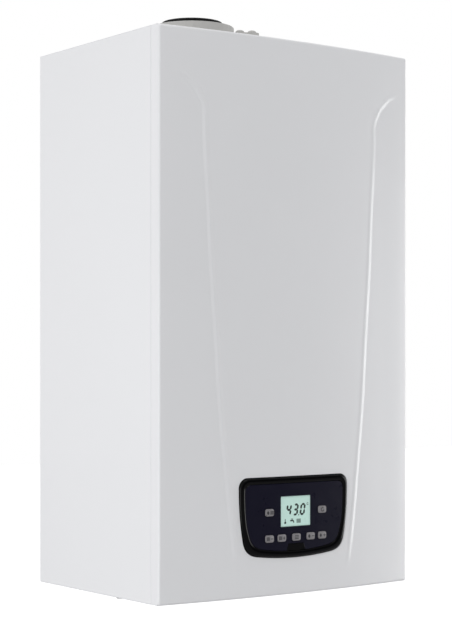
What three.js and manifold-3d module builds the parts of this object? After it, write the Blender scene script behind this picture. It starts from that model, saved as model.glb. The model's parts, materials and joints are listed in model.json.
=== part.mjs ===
// A wall-hung combi boiler in millimetres, +Z up, front towards -Y.
// Places are in the casing's frame: x from its centre line, y from the wall, z from its underside.
// The last lines lower it all, so that the origin is the middle of the wall bracket's back.

import * as THREE from 'three';
import { mergeVertices } from 'three/addons/utils/BufferGeometryUtils.js';
import Module from 'manifold-3d';

const wasm = await Module();
wasm.setup();

// ---- Casing sizes ------------------------------------------------------------------------------
const CASE_WIDTH = 400;
const CASE_HEIGHT = 700;
const CASE_DEPTH = 284; // wall to the cover's front at its side edges
const FRONT_BOW = 12; // how much further forward the cover's middle is
const SHEET = 1.2;
const FIT = 0.3; // clearance between pieces that touch or seat
const OVERLAP = 1; // how far a cut runs on past a face, and a boss into what it stands on
const COVER_RETURN = 16;
const COVER_SEAM = 0.6;
const COVER_CORNER = 3;
const PANEL_FLANGE = 12;
const WALL_GAP = 1.5;

const BRACKET_WIDTH = 300;
const BRACKET_HEIGHT = 44;
const BRACKET_SHEET = 3;
const HOOK_SPACING = 180;
const HOOK_WIDTH = 40;
const HOOK_RISE = 12;
const HOOK_CLEARANCE = 4;
const HANG_DROP = 60; // casing's top down to the bracket's middle
const BRACKET_SCREW = 4.2;
const BRACKET_SCREW_INSET = 14;
const FRAME_SETBACK = 10;
const FRAME_SHEET = 1.5;
const FRAME_FLANGE = 25;
const SPACER_HEIGHT = 30;

const TRAY_LIFT = 1.5;
const TRAY_FLANGE = 10;
const TRAY_INSET = 5; // tray's front edge behind the side panels' front
const TAB_WIDTH = 24;
const TAB_REACH = 22;
const TAB_INSET = 65; // casing's side in to a cover screw
const SCREW_SHANK = 2;
const SCREW_HEAD = 4.5;
const SCREW_HEAD_HEIGHT = 2;
const SCREW_LENGTH = 9;

// ---- Flue sizes --------------------------------------------------------------------------------
const FLUE_SETBACK = 70; // wall to the flue's axis
const TURRET_RADIUS = 57.5;
const TURRET_WALL = 3;
const TURRET_HEIGHT = 50;
const TURRET_FLANGE = 66;
const TURRET_FLANGE_THICKNESS = 3;
const SLEEVE_RADIUS = 38;
const RIB_THICKNESS = 3;
const RIB_HEIGHT = 20;
const FLUE_RADIUS = 31.7;
const FLUE_WALL = 2.2;
const FLUE_PROUD = 3; // flue pipe's end above the sleeve
const SEAL_HEIGHT = 7;
const LUG_REACH = 92;
const LUG_WIDTH = 22;
const LUG_HEIGHT = 40;
const LUG_TURN = -25; // degrees from +X
const CAP_RADIUS = 6.5;
const CAP_HEIGHT = 8;
const CAP_STEM = 4;
const CAP_STEM_LENGTH = 10;
const CAP_PLACES = [67, 84];

// ---- Heat exchanger, burner and fan sizes ------------------------------------------------------
const EXCHANGER_RADIUS = 120;
const EXCHANGER_WALL = 4;
const EXCHANGER_REAR = 40; // wall to the drum's back
const EXCHANGER_DROP = 200; // casing's top down to the drum's axis
const EXCHANGER_X = -45;
const BURNER_ROOM = 94; // depth kept in front of the drum for burner door, fan and mixer
const SADDLE_WIDTH = 160;
const SADDLE_HEIGHT = 30;
const COIL_INNER = 78;
const COIL_TURNS = 5;
const COIL_GROOVE = 5;
const COIL_MARGIN = 8;
const DOOR_THICKNESS = 14;
const DOOR_INSET = 8;
const BURNER_RADIUS = 36;
const BURNER_FLANGE = 50;
const BURNER_WALL = 2;
const BURNER_MARGIN = 46; // burner's end to the drum's back
const ELECTRODE_RADIUS = 3;
const ELECTRODE_REACH = 30;
const ELECTRODE_HEAD = 10;
const STUB_RADIUS = 10;
const STUB_BORE = 8;
const STUB_SPREAD = 65;
const STUB_SETBACK = 70;
const STUB_LENGTH = 25;
const DRAIN_OFFSET = 55;
const DRAIN_SETBACK = 110;
const DRAIN_RADIUS = 8;
const DRAIN_BORE = 6;
const COLLAR_WALL = 5;
const COLLAR_RISE = 26;

const FAN_RADIUS = 62;
const FAN_DEPTH = 50;
const FAN_WALL = 2.5;
const FAN_INLET = 22;
const FAN_GAP = 12;
const FAN_SETBACK = 2; // drum's front to the fan's back
const FAN_OUTLET_WIDTH = 44;
const FAN_OUTLET_DEPTH = 34;
const FAN_OUTLET_SETBACK = 2; // fan's front to its outlet's front
const FAN_FLANGE = 3;
const FAN_MOTOR_RADIUS = 36;
const FAN_MOTOR_LENGTH = 38;
const IMPELLER_RADIUS = 50;
const IMPELLER_DEPTH = 30;
const IMPELLER_BLADES = 12;
const IMPELLER_BLADE_THICKNESS = 1.5;
const IMPELLER_BLADE_PITCH = 0.5; // radians from the radius
const IMPELLER_PLATE = 2;
const IMPELLER_BACK_GAP = 5;
const IMPELLER_RIM = 10;
const IMPELLER_HUB = 10;
const IMPELLER_HUB_REACH = 8;
const IMPELLER_EYE_GAP = 6; // fan's inlet out to the blades' inner ends
const PLENUM_WALL = 3;
const PLENUM_DEPTH = 36;
const MIXER_RADIUS = 30;
const MIXER_BORE = 20;
const MIXER_DEPTH = 40;
const MIXER_STUB = 12;
const MIXER_WALL = 4;
const AIR_PIPE_RADIUS = 18;
const AIR_PIPE_BORE = 15.5;
const AIR_PIPE_HEIGHT = 250;
const AIR_PIPE_BEND = 24;
const SIDE_CLEARANCE = 14;
const GAS_STUB_RADIUS = 9;
const GAS_STUB_LENGTH = 74;

const VALVE_WIDTH = 60;
const VALVE_HEIGHT = 74;
const VALVE_DEPTH = 66;
const VALVE_COIL_RADIUS = 15.5;
const VALVE_COIL_HEIGHT = 26;
const GAS_PIPE_RADIUS = 8;
const GAS_PIPE_BORE = 6.5;
const GAS_PIPE_RUN = 40; // straight end behind the valve
const GAS_CAP = 6;

// ---- Water side sizes --------------------------------------------------------------------------
const UNION_SETBACK = 90; // wall to the row of connections
const UNION_MARGIN = 76; // casing's side in to the outermost connection
const UNION_RADIUS = 13;
const UNION_BORE = 9.5;
const UNION_DROP = 14; // below the casing
const UNION_COLLAR = 18;
const UNION_COLLAR_HEIGHT = 5;
const TRAY_HOLE_CLEARANCE = 1;
const MANIFOLD_REAR = 70;
const MANIFOLD_DEPTH = 60;
const MANIFOLD_LIFT = 50;
const MANIFOLD_HEIGHT = 60;
const MANIFOLD_MARGIN = 16;
const PLATE_WIDTH = 190;
const PLATE_DEPTH = 50;
const PLATE_HEIGHT = 73;
const PLATE_LIFT = 41;
const PLATE_GROOVE_PITCH = 5;
const PLATE_GROOVE = 1.5;
const ACTUATOR_RADIUS = 17;
const ACTUATOR_HEIGHT = 52;
const ACTUATOR_PLUG = [17, 6, 16]; // its plug's width, reach and height
const ACTUATOR_PLUG_DROP = 8;
const STEM_RADIUS = 5;
const STEM_LENGTH = 30;
const STEM_TRAVEL = 6;
const PUMP_INSET = 105; // casing's side in to the pump's axis
const PUMP_RADIUS = 45;
const PUMP_LIFT = 165;
const PUMP_REAR = 60;
const PUMP_DEPTH = 50;
const PUMP_WALL = 5;
const PUMP_NECK = 14;
const PUMP_MOTOR_RADIUS = 38;
const PUMP_MOTOR_LENGTH = 60;
const ROTOR_RADIUS = 30;
const ROTOR_DEPTH = 14;
const ROTOR_SHAFT = 5;
const ROTOR_GAP = 4;
const PUMP_PORT_OFFSET = 28;
const PUMP_PORT_RISE = 12;
const PUMP_PORT_DEPTH = 20;
const PUMP_MOTOR_FLANGE = 6;
const VENT_RADIUS = 12;
const VENT_HEIGHT = 28;
const VENT_TIP = 4;
const PIPE_RADIUS = 9;
const PIPE_BORE = 7.5;
const FLOW_RUNS = [40, 50]; // straight ends, at the exchanger and at the manifold
const RETURN_RUN = 25; // straight end, at the exchanger and at the pump
const VESSEL_THICKNESS = 76;
const VESSEL_HEIGHT = 330;
const VESSEL_DEPTH = 224;
const VESSEL_CORNER = 30;
const VESSEL_RIM = 3;
const VESSEL_DROP = 60; // casing's top down to the vessel's top
const VESSEL_PORT = 12;
const VESSEL_PORT_RADIUS = 8;
const VESSEL_PORT_OFFSET = 20; // vessel's middle forward to its port
const VESSEL_RIM_WIDTH = 4;
const HOSE_RADIUS = 6;
const HOSE_BORE = 4.5;
const HOSE_RUNS = [60, 50]; // straight ends, above the manifold and below the vessel
const TRAP_HOSE_RUN = 30;
const TRAP_RADIUS = 26;
const TRAP_HEIGHT = 150;
const TRAP_SETBACK = 150;
const TRAP_NECK = 11;
const TRAP_NECK_HEIGHT = 36;
const TRAP_OUTLET = 9;
const TRAP_OUTLET_DROP = 8;
const TRAP_BORE = 6.5;
const TRAP_BORE_DEPTH = 40;
const SAFETY_RADIUS = 12;
const SAFETY_LENGTH = 30;
const KNOB_RADIUS = 14;
const KNOB_HEIGHT = 12;
const KNOB_SIDES = 10;
const TAP_STEM = 4;

// ---- Control box sizes -------------------------------------------------------------------------
const BOX_WIDTH = 330;
const BOX_BOTTOM = 36;
const BOX_HEIGHT = 124;
const BOX_DEPTH = 62;
const BOX_WALL = 2.2;
const BOX_SETBACK = 3; // box's front behind the cover's side edges
const PIVOT_SETBACK = 22; // pivot behind the cover's side edges
const PIVOT_HEIGHT = 22;
const PIVOT_RADIUS = 4;
const PIVOT_LENGTH = 8;
const EAR_RADIUS = 8;
const LUG_SHEET = 2;
const FASCIA_HALF = 86.6;
const FASCIA_TOP = 148.4;
const FASCIA_BOTTOM = 47.3;
const FASCIA_SHOULDER = 12.5;
const FASCIA_TAPER = 50; // top down to where the sides start to lean in
const FASCIA_CHEEK = [6, 23]; // the corners of the lower edge: in from the side, up from the bottom
const FASCIA_JAW = [[8.5, 10], [17, 5]];
const FASCIA_CHIN = [30, 3.6];
const FASCIA_PROUD = 3;
const FASCIA_GAP = 1;
const FASCIA_RIM = 8;
const FASCIA_LEDGE = 3;
const FASCIA_SPARE = 5; // how far the bowed layer runs on round the fascia
const PANEL_INSET = 0.8;
const PANEL_THICKNESS = 3;
const DISPLAY_WIDTH = 48;
const DISPLAY_HEIGHT = 38;
const DISPLAY_INSET = 1.2;
const DISPLAY_FLANGE = 3; // the carrier behind the panel: its thickness and how far it runs out
const DISPLAY_CORNER = 1;
const CONTROL_ROW = 105; // height of the display and the upper buttons
const BUTTON_ROW = 72.2;
const BUTTON_WIDTH = 13.4;
const BUTTON_HEIGHT = 9.1;
const BUTTON_CORNER = 2.6;
const BUTTON_INNER_X = 23.2;
const BUTTON_OUTER_X = 42.4;
const BUTTON_PROUD = 1.6;
const BUTTON_TRAVEL = 1.2;
const BUTTON_FLANGE = 1.2;
const BUTTON_LIP = 1; // how far the flange runs out behind the panel
const BUTTON_STEM = 2.5;
const WINDOW_HALF = 16;
const WINDOW_HEIGHT = 9;
const WINDOW_SLOPE = 4;
const WINDOW_SINK = 2; // how far its outline runs down into the rim's
const BOARD_WIDTH = 150;
const BOARD_HEIGHT = 92;
const BOARD_THICKNESS = 1.6;
const BOARD_STANDOFF = 2.5;
const BOARD_POST = 3;
const BOARD_POST_INSET = 4;
const SWITCH_SIZE = 6;
const SWITCH_HEIGHT = 7;

// ---- Values worked out from the sizes ----------------------------------------------------------
const CASE_HALF = CASE_WIDTH / 2;
const INNER_HALF = CASE_HALF - SHEET;
const TAB_X = CASE_HALF - TAB_INSET;
const UNION_PITCH = (CASE_HALF - UNION_MARGIN) / 2;
const PUMP_X = CASE_HALF - PUMP_INSET;
const COVER_BACK = -(CASE_DEPTH - COVER_RETURN);
const PANEL_FRONT = COVER_BACK + COVER_SEAM;
const FRAME_FACE = -(FRAME_SETBACK + FRAME_SHEET);
const SEAT_FACE = FRAME_FACE - FIT; // back of what is fixed to the frame
const HANG_Z = CASE_HEIGHT - HANG_DROP;
const TRAY_TOP = TRAY_LIFT + SHEET;
const TRAY_FRONT = PANEL_FRONT + TRAY_INSET;
const TRAY_SEAT = TRAY_TOP + FIT;
const SCREW_Y = TRAY_FRONT + TAB_REACH / 2;
const EXCHANGER_Z = CASE_HEIGHT - EXCHANGER_DROP;
const DRUM_FRONT = -(CASE_DEPTH - BURNER_ROOM);
const DOOR_BACK = DRUM_FRONT - FIT;
const DOOR_FRONT = DOOR_BACK - DOOR_THICKNESS;
const FAN_X = EXCHANGER_X - (FAN_RADIUS - FAN_OUTLET_WIDTH / 2);
const FAN_Z = EXCHANGER_Z - EXCHANGER_RADIUS - FAN_GAP - FAN_RADIUS;
const FAN_BACK = DRUM_FRONT - FAN_SETBACK;
const FAN_FRONT = FAN_BACK - FAN_DEPTH;
const OUTLET_TOP = FAN_Z + FAN_RADIUS + FAN_WALL;
const MIXER_BACK = FAN_FRONT - FIT;
const MIXER_FRONT = MIXER_BACK - MIXER_DEPTH;
const MIXER_AXIS = (MIXER_BACK + MIXER_FRONT) / 2;
const AIR_PIPE_X = -(INNER_HALF - SIDE_CLEARANCE - AIR_PIPE_RADIUS);
const VALVE_LEFT = FAN_X + MIXER_RADIUS + GAS_STUB_LENGTH + FIT;
const VALVE_BACK = MIXER_FRONT + VALVE_DEPTH;
const MANIFOLD_FRONT = -(MANIFOLD_REAR + MANIFOLD_DEPTH);
const MANIFOLD_TOP = MANIFOLD_LIFT + MANIFOLD_HEIGHT;
const UNION_Y = -UNION_SETBACK;
const PUMP_FRONT = -(PUMP_REAR + PUMP_DEPTH);
const PUMP_Y = -(PUMP_REAR + PUMP_DEPTH / 2);
const PUMP_PORT_X = PUMP_X - PUMP_PORT_OFFSET;
const PUMP_PORT_TOP = PUMP_LIFT + PUMP_RADIUS + PUMP_PORT_RISE;
const VESSEL_RIGHT = INNER_HALF - FIT - FRAME_SHEET - FIT;
const VESSEL_X = VESSEL_RIGHT - VESSEL_THICKNESS / 2;
const VESSEL_TOP = CASE_HEIGHT - VESSEL_DROP;
const VESSEL_BOTTOM = VESSEL_TOP - VESSEL_HEIGHT;
const TRAP_X = -(INNER_HALF - FIT - SHEET - SIDE_CLEARANCE / 2 - TRAP_RADIUS);
const STUB_X = [EXCHANGER_X - STUB_SPREAD, EXCHANGER_X + STUB_SPREAD];
const STUB_END = EXCHANGER_Z - Math.sqrt(EXCHANGER_RADIUS ** 2 - STUB_SPREAD ** 2) - STUB_LENGTH;
const BOX_FRONT = -(CASE_DEPTH - BOX_SETBACK);
const BOX_BACK = BOX_FRONT + BOX_DEPTH;
const BOX_TOP = BOX_BOTTOM + BOX_HEIGHT;
const PIVOT_Y = -(CASE_DEPTH - PIVOT_SETBACK);
const FASCIA_BACK = BOX_FRONT - FIT;
const PANEL_FACE = FASCIA_PROUD - PANEL_INSET; // the panel's front, proud of the cover
const PANEL_BACK = PANEL_FACE - PANEL_THICKNESS;
const BOARD_FRONT = BOX_FRONT + BOX_WALL + BOARD_STANDOFF + FIT;
const SWITCH_FRONT = BOARD_FRONT - SWITCH_HEIGHT;

const FINE = 32; // sides of the widest rounds
const ROUND = 16;
const SMALL = 8;
const PIPE_SIDES = 10;
const ARC_STEPS = 2; // half the steps of a round corner in an outline
const BEND_STEPS = 2;
const BOW_STEPS = 16;

// ---- Making solids -----------------------------------------------------------------------------

/** Makes a solid that can be cut and joined from a closed three.js geometry. */
function solidOf(geometry) {
  const bare = geometry.clone();
  bare.deleteAttribute('normal');
  bare.deleteAttribute('uv');
  const merged = mergeVertices(bare);
  const corners = merged.index.array;
  const kept = [];
  for (let i = 0; i < corners.length; i += 3) {
    const [a, b, c] = [corners[i], corners[i + 1], corners[i + 2]];
    if (a !== b && b !== c && c !== a) kept.push(a, b, c);
  }
  const make = (order) => new wasm.Manifold(new wasm.Mesh({
    numProp: 3,
    vertProperties: new Float32Array(merged.attributes.position.array),
    triVerts: new Uint32Array(order),
  }));
  const solid = make(kept);
  return solid.volume() > 0 ? solid : make(kept.toReversed());
}

/** Gives a solid back as a three.js geometry. */
function geometryOf(solid) {
  const mesh = solid.getMesh();
  const geometry = new THREE.BufferGeometry();
  geometry.setAttribute('position', new THREE.BufferAttribute(new Float32Array(mesh.vertProperties), 3));
  geometry.setIndex(new THREE.BufferAttribute(new Uint32Array(mesh.triVerts), 1));
  geometry.computeVertexNormals();
  return geometry;
}

/** A box between two corners. */
function block(low, high) {
  const [x, y, z] = [0, 1, 2].map((i) => high[i] - low[i]);
  const geometry = new THREE.BoxGeometry(x, y, z);
  geometry.translate((low[0] + high[0]) / 2, (low[1] + high[1]) / 2, (low[2] + high[2]) / 2);
  return solidOf(geometry);
}

/** Turns a geometry made about +Y so that it lies along an axis, and moves it there. */
function along(axis, geometry, [u, v], start) {
  if (axis === 'x') return geometry.rotateZ(-Math.PI / 2).translate(start, u, v);
  if (axis === 'z') return geometry.rotateX(Math.PI / 2).translate(u, v, start);
  return geometry.translate(u, start, v);
}

/** A round bar along an axis; its centre is given in the other two directions. */
function bar(axis, radius, from, to, centre, sides = ROUND) {
  const geometry = new THREE.CylinderGeometry(radius, radius, Math.abs(to - from), sides);
  return solidOf(along(axis, geometry, centre, (from + to) / 2));
}

/** A turned piece about an axis, from points of radius and place along it. */
function turned(axis, profile, centre, sides = ROUND) {
  const points = profile.map(([radius, place]) => new THREE.Vector2(radius, place));
  return solidOf(along(axis, new THREE.LatheGeometry(points, sides), centre, 0));
}

/** A turned ring, such as a collar or a length of wide pipe. */
function ring(axis, inner, outer, from, to, centre, sides = ROUND) {
  const profile = [[inner, from], [outer, from], [outer, to], [inner, to], [inner, from]];
  return turned(axis, profile, centre, sides);
}

const PLANES = {
  plan: [new THREE.Vector3(1, 0, 0), new THREE.Vector3(0, 1, 0), new THREE.Vector3(0, 0, 1)],
  front: [new THREE.Vector3(1, 0, 0), new THREE.Vector3(0, 0, 1), new THREE.Vector3(0, -1, 0)],
  side: [new THREE.Vector3(0, 1, 0), new THREE.Vector3(0, 0, 1), new THREE.Vector3(1, 0, 0)],
};

/** An outline drawn in plan, from the front or from the side, given a depth between two places. */
function prism(plane, shape, from, to) {
  const [across, up, out] = PLANES[plane];
  const settings = { depth: to - from, bevelEnabled: false, curveSegments: ARC_STEPS };
  const geometry = new THREE.ExtrudeGeometry(shape, settings);
  geometry.applyMatrix4(new THREE.Matrix4().makeBasis(across, up, out));
  const start = plane === 'front' ? -to : from;
  geometry.translate(out.x * start, out.y * start, out.z * start);
  return solidOf(geometry);
}

/** A shape from corner points. */
function outline(points) {
  return new THREE.Shape(points.map(([u, v]) => new THREE.Vector2(u, v)));
}

/** A rectangle with round corners about a centre. */
function roundedRect(width, height, corner, [u, v] = [0, 0]) {
  const shape = new THREE.Shape();
  const [right, top] = [width / 2 - corner, height / 2 - corner];
  shape.absarc(u + right, v + top, corner, 0, Math.PI / 2);
  shape.absarc(u - right, v + top, corner, Math.PI / 2, Math.PI);
  shape.absarc(u - right, v - top, corner, Math.PI, Math.PI * 1.5);
  shape.absarc(u + right, v - top, corner, Math.PI * 1.5, Math.PI * 2);
  return shape;
}

/** A path through listed stations, so that straight runs need only their ends. */
class StationPath extends THREE.Curve {
  constructor(stations) {
    super();
    this.stations = stations;
  }

  getPoint(t, target = new THREE.Vector3()) {
    const place = t * (this.stations.length - 1);
    const index = Math.min(Math.floor(place), this.stations.length - 2);
    return target.lerpVectors(this.stations[index], this.stations[index + 1], place - index);
  }

  getPointAt(u, target) {
    return this.getPoint(u, target);
  }

  getTangentAt(u, target = new THREE.Vector3()) {
    const index = Math.round(u * (this.stations.length - 1));
    const last = this.stations.length - 1;
    const [before, here, after] = [Math.max(index - 1, 0), index, Math.min(index + 1, last)]
      .map((i) => this.stations[i]);
    const arriving = here.clone().sub(before).normalize();
    const leaving = after.clone().sub(here).normalize();
    return target.copy(arriving).add(leaving).normalize();
  }
}

/** Stations along a route of straight runs whose corners are bent to a radius. */
function bentStations(corners, radius) {
  const points = corners.map((corner) => new THREE.Vector3(...corner));
  const stations = [points[0]];
  for (let i = 1; i < points.length - 1; i += 1) {
    const into = points[i].clone().sub(points[i - 1]).normalize();
    const out = points[i + 1].clone().sub(points[i]).normalize();
    const reach = radius * Math.tan(into.angleTo(out) / 2);
    const start = points[i].clone().addScaledVector(into, -reach);
    const end = points[i].clone().addScaledVector(out, reach);
    const bend = new THREE.QuadraticBezierCurve3(start, points[i], end);
    stations.push(...bend.getPoints(BEND_STEPS));
  }
  stations.push(points.at(-1));
  return stations;
}

/** A pipe along a bent route, open at both ends. */
function pipe(corners, radius, bore, bend) {
  const stations = bentStations(corners, bend);
  const section = new THREE.Shape().absarc(0, 0, radius, 0, Math.PI * 2);
  section.holes.push(new THREE.Path().absarc(0, 0, bore, 0, Math.PI * 2));
  const geometry = new THREE.ExtrudeGeometry(section, {
    extrudePath: new StationPath(stations),
    steps: stations.length - 1,
    curveSegments: PIPE_SIDES / 2,
  });
  return solidOf(geometry);
}

/** Joins a list of solids into one. */
function joined(solids) {
  return solids.reduce((whole, next) => whole.add(next));
}

// ---- Finishes ----------------------------------------------------------------------------------
const FINISHES = {
  white: [0xe6e8ea, 0.35, 0],
  galvanised: [0xb9bdbf, 0.45, 0.8],
  flueGrey: [0xc9c7c2, 0.5, 0],
  blackRubber: [0x161616, 0.8, 0],
  steel: [0xc4c6c8, 0.3, 1],
  aluminium: [0xb4b6b8, 0.45, 1],
  brass: [0xc59a4a, 0.35, 1],
  copper: [0xb8704a, 0.35, 1],
  blackPlastic: [0x222326, 0.55, 0],
  greyPlastic: [0x8f9296, 0.6, 0],
  glossBlack: [0x08080b, 0.08, 0],
  navy: [0x14121f, 0.2, 0],
  mint: [0xbedfd0, 0.25, 0],
  button: [0x827c80, 0.5, 0],
  redPaint: [0xa3242a, 0.45, 0],
  greenBoard: [0x1f5a3a, 0.5, 0],
  blueKnob: [0x1c4a8c, 0.5, 0],
  ceramic: [0xe9e4da, 0.4, 0],
};

/** Adds a solid to a group as a named mesh with a finish of its own. */
function addPiece(group, name, solid, finish) {
  const [color, roughness, metalness] = FINISHES[finish];
  const material = new THREE.MeshStandardMaterial({ color, roughness, metalness });
  const mesh = new THREE.Mesh(geometryOf(solid), material);
  mesh.name = name;
  group.add(mesh);
  return mesh;
}

// ---- The bowed front ---------------------------------------------------------------------------

/** The cover's front at x, moved out by an offset. */
function bowAt(x, offset = 0) {
  return -(CASE_DEPTH + FRONT_BOW * (1 - (x / CASE_HALF) ** 2) + offset);
}

/** Points along the bowed front from one side to the other. */
function bowPoints(half, offset) {
  return Array.from({ length: BOW_STEPS + 1 }, (_, i) => {
    const x = -half + (2 * half * i) / BOW_STEPS;
    return [x, bowAt(x, offset)];
  });
}

/** The layer of space between two surfaces that follow the bowed front. */
function bowLayer(outer, inner, half, bottom, top) {
  const points = [...bowPoints(half, outer), ...bowPoints(half, inner).reverse()];
  return prism('plan', outline(points), bottom, top);
}

/** The cover's plan, drawn in by a wall, with its front corners rounded. */
function coverPlan(wall, back) {
  const half = CASE_HALF - wall;
  const corner = COVER_CORNER - wall;
  const front = bowPoints(half - corner, -wall);
  const shape = new THREE.Shape();
  shape.moveTo(half, back);
  shape.lineTo(-half, back);
  shape.lineTo(-half, front[0][1] + corner);
  shape.quadraticCurveTo(-half, front[0][1], ...front[0]);
  for (const point of front.slice(1)) shape.lineTo(...point);
  shape.quadraticCurveTo(half, front.at(-1)[1], half, front.at(-1)[1] + corner);
  return shape;
}

/** The fascia's outline seen from the front, grown all round. */
function fasciaOutline(grow) {
  const half = FASCIA_HALF + grow;
  const top = FASCIA_TOP + grow;
  const shoulder = FASCIA_SHOULDER + grow / 2;
  const bottom = FASCIA_BOTTOM - grow;
  const [cheek, jawHigh, jawLow, chin] = [FASCIA_CHEEK, ...FASCIA_JAW, FASCIA_CHIN].map(
    ([inset, rise]) => [half - inset, bottom + rise],
  );
  const mirror = ([x, z]) => [-x, z];
  const shape = new THREE.Shape();
  shape.moveTo(...mirror(chin));
  shape.quadraticCurveTo(0, bottom - FASCIA_CHIN[1], ...chin);
  shape.bezierCurveTo(...jawLow, ...jawHigh, ...cheek);
  shape.quadraticCurveTo(half, top - FASCIA_TAPER, half, top - shoulder);
  shape.absarc(half - shoulder, top - shoulder, shoulder, 0, Math.PI / 2);
  shape.absarc(-half + shoulder, top - shoulder, shoulder, Math.PI / 2, Math.PI);
  shape.quadraticCurveTo(-half, top - FASCIA_TAPER, ...mirror(cheek));
  shape.bezierCurveTo(...mirror(jawHigh), ...mirror(jawLow), ...mirror(chin));
  return shape;
}

// ---- Casing ------------------------------------------------------------------------------------
function wallBracket() {
  const [low, high] = [HANG_Z - BRACKET_HEIGHT / 2, HANG_Z + BRACKET_HEIGHT / 2];
  let solid = block([-BRACKET_WIDTH / 2, -BRACKET_SHEET, low], [BRACKET_WIDTH / 2, 0, high]);
  const lip = SEAT_FACE - BRACKET_SHEET;
  const half = BRACKET_SHEET / 2;
  for (const side of [-1, 1]) {
    const middle = (side * HOOK_SPACING) / 2;
    const [left, right] = [middle - HOOK_WIDTH / 2, middle + HOOK_WIDTH / 2];
    const arm = block([left, lip, HANG_Z - half], [right, -half, HANG_Z + half]);
    const rise = block([left, lip, HANG_Z - half], [right, SEAT_FACE, HANG_Z + HOOK_RISE]);
    const screwAt = [side * (BRACKET_WIDTH / 2 - BRACKET_SCREW_INSET), HANG_Z];
    const hole = bar('y', BRACKET_SCREW, -BRACKET_SHEET * 2, BRACKET_SHEET, screwAt, SMALL);
    solid = solid.add(arm).add(rise).subtract(hole);
  }
  return solid;
}

function rearFrame() {
  const half = INNER_HALF - FIT;
  const bottom = TRAY_LIFT + SHEET + TRAY_FLANGE + FIT;
  const top = CASE_HEIGHT - SHEET - FIT;
  const front = -(FRAME_SETBACK + FRAME_FLANGE);
  const outer = block([-half, front, bottom], [half, -FRAME_SETBACK, top]);
  const wall = FRAME_SHEET;
  const inner = block([-half + wall, front - wall, bottom + wall], [half - wall, FRAME_FACE, top - wall]);
  const spacerLow = bottom + SPACER_HEIGHT;
  const spacer = block(
    [-BRACKET_WIDTH / 2, FRAME_FACE, spacerLow],
    [BRACKET_WIDTH / 2, 0, spacerLow + SPACER_HEIGHT],
  );
  let solid = outer.subtract(inner).add(spacer);
  const slotTop = HANG_Z + BRACKET_SHEET / 2 + FIT;
  const slotHeight = HOOK_RISE + BRACKET_SHEET * 2;
  for (const side of [-1, 1]) {
    const middle = (side * HOOK_SPACING) / 2;
    const reach = HOOK_WIDTH / 2 + HOOK_CLEARANCE;
    const slot = block([middle - reach, front, slotTop - slotHeight], [middle + reach, 0, slotTop]);
    solid = solid.subtract(slot);
  }
  return solid;
}

/** A side panel: a sheet with a flange turned in along its front and its back. */
function sidePanel(side) {
  const [outside, inside] = [side * CASE_HALF, side * INNER_HALF];
  const edge = side * (CASE_HALF - PANEL_FLANGE);
  const [back, front] = [-WALL_GAP, PANEL_FRONT];
  const shape = outline([
    [outside, back], [outside, front], [edge, front], [edge, front + SHEET],
    [inside, front + SHEET], [inside, back - SHEET], [edge, back - SHEET], [edge, back],
  ]);
  return prism('plan', shape, 0, CASE_HEIGHT);
}

function topPanel() {
  const half = INNER_HALF - FIT;
  const [back, front] = [-WALL_GAP - SHEET - FIT, PANEL_FRONT + SHEET + FIT];
  const top = CASE_HEIGHT;
  const sheet = block([-half, front, top - SHEET], [half, back, top]);
  const lip = block([-half, front, top - PANEL_FLANGE], [half, front + SHEET, top]);
  const radius = TURRET_RADIUS - TURRET_WALL;
  const hole = bar('z', radius, top - SHEET * 2, top + SHEET, [0, -FLUE_SETBACK], FINE);
  return sheet.add(lip).subtract(hole);
}

function bottomTray() {
  const half = INNER_HALF - FIT;
  const back = -WALL_GAP - SHEET - FIT;
  const flangeTop = TRAY_TOP + TRAY_FLANGE;
  const outer = block([-half, TRAY_FRONT, TRAY_LIFT], [half, back, flangeTop]);
  const inner = block(
    [-half + SHEET, TRAY_FRONT + SHEET, TRAY_TOP],
    [half - SHEET, back - SHEET, flangeTop + OVERLAP],
  );
  let solid = outer.subtract(inner);
  const through = [TRAY_LIFT - OVERLAP, TRAY_TOP + OVERLAP];
  const holes = [-2, -1, 0, 1, 2].map((place) => [UNION_RADIUS, [place * UNION_PITCH, UNION_Y]]);
  holes.push([TRAP_OUTLET, [TRAP_X, -TRAP_SETBACK]], [TAP_STEM, [UNION_PITCH * 1.5, UNION_Y]]);
  for (const [radius, at] of holes) {
    solid = solid.subtract(bar('z', radius + TRAY_HOLE_CLEARANCE, ...through, at));
  }
  const slot = SCREW_SHANK + FIT;
  for (const side of [-1, 1]) {
    const x = side * TAB_X;
    const open = block(
      [x - slot, TRAY_FRONT - OVERLAP, 0],
      [x + slot, SCREW_Y + slot, flangeTop + OVERLAP],
    );
    solid = solid.subtract(open);
    solid = solid.add(pivotLug(side));
  }
  return solid;
}

/** A lug that stands on the tray and holds one of the control box's pivots. */
function pivotLug(side) {
  const inner = side * (BOX_WIDTH / 2 + FIT * 2);
  const outer = inner + side * LUG_SHEET;
  const [left, right] = [Math.min(inner, outer), Math.max(inner, outer)];
  const hub = bar('x', EAR_RADIUS, left, right, [PIVOT_Y, PIVOT_HEIGHT]);
  const foot = block([left, TRAY_FRONT, TRAY_LIFT], [right, TRAY_FRONT + 2 * EAR_RADIUS, PIVOT_HEIGHT]);
  const neck = block(
    [left, PIVOT_Y - LUG_SHEET, TRAY_TOP + 2 * LUG_SHEET],
    [right, TRAY_FRONT + OVERLAP, PIVOT_HEIGHT],
  );
  const hole = bar('x', PIVOT_RADIUS + FIT, left - OVERLAP, right + OVERLAP, [PIVOT_Y, PIVOT_HEIGHT]);
  return hub.add(foot).add(neck).subtract(hole);
}

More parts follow.
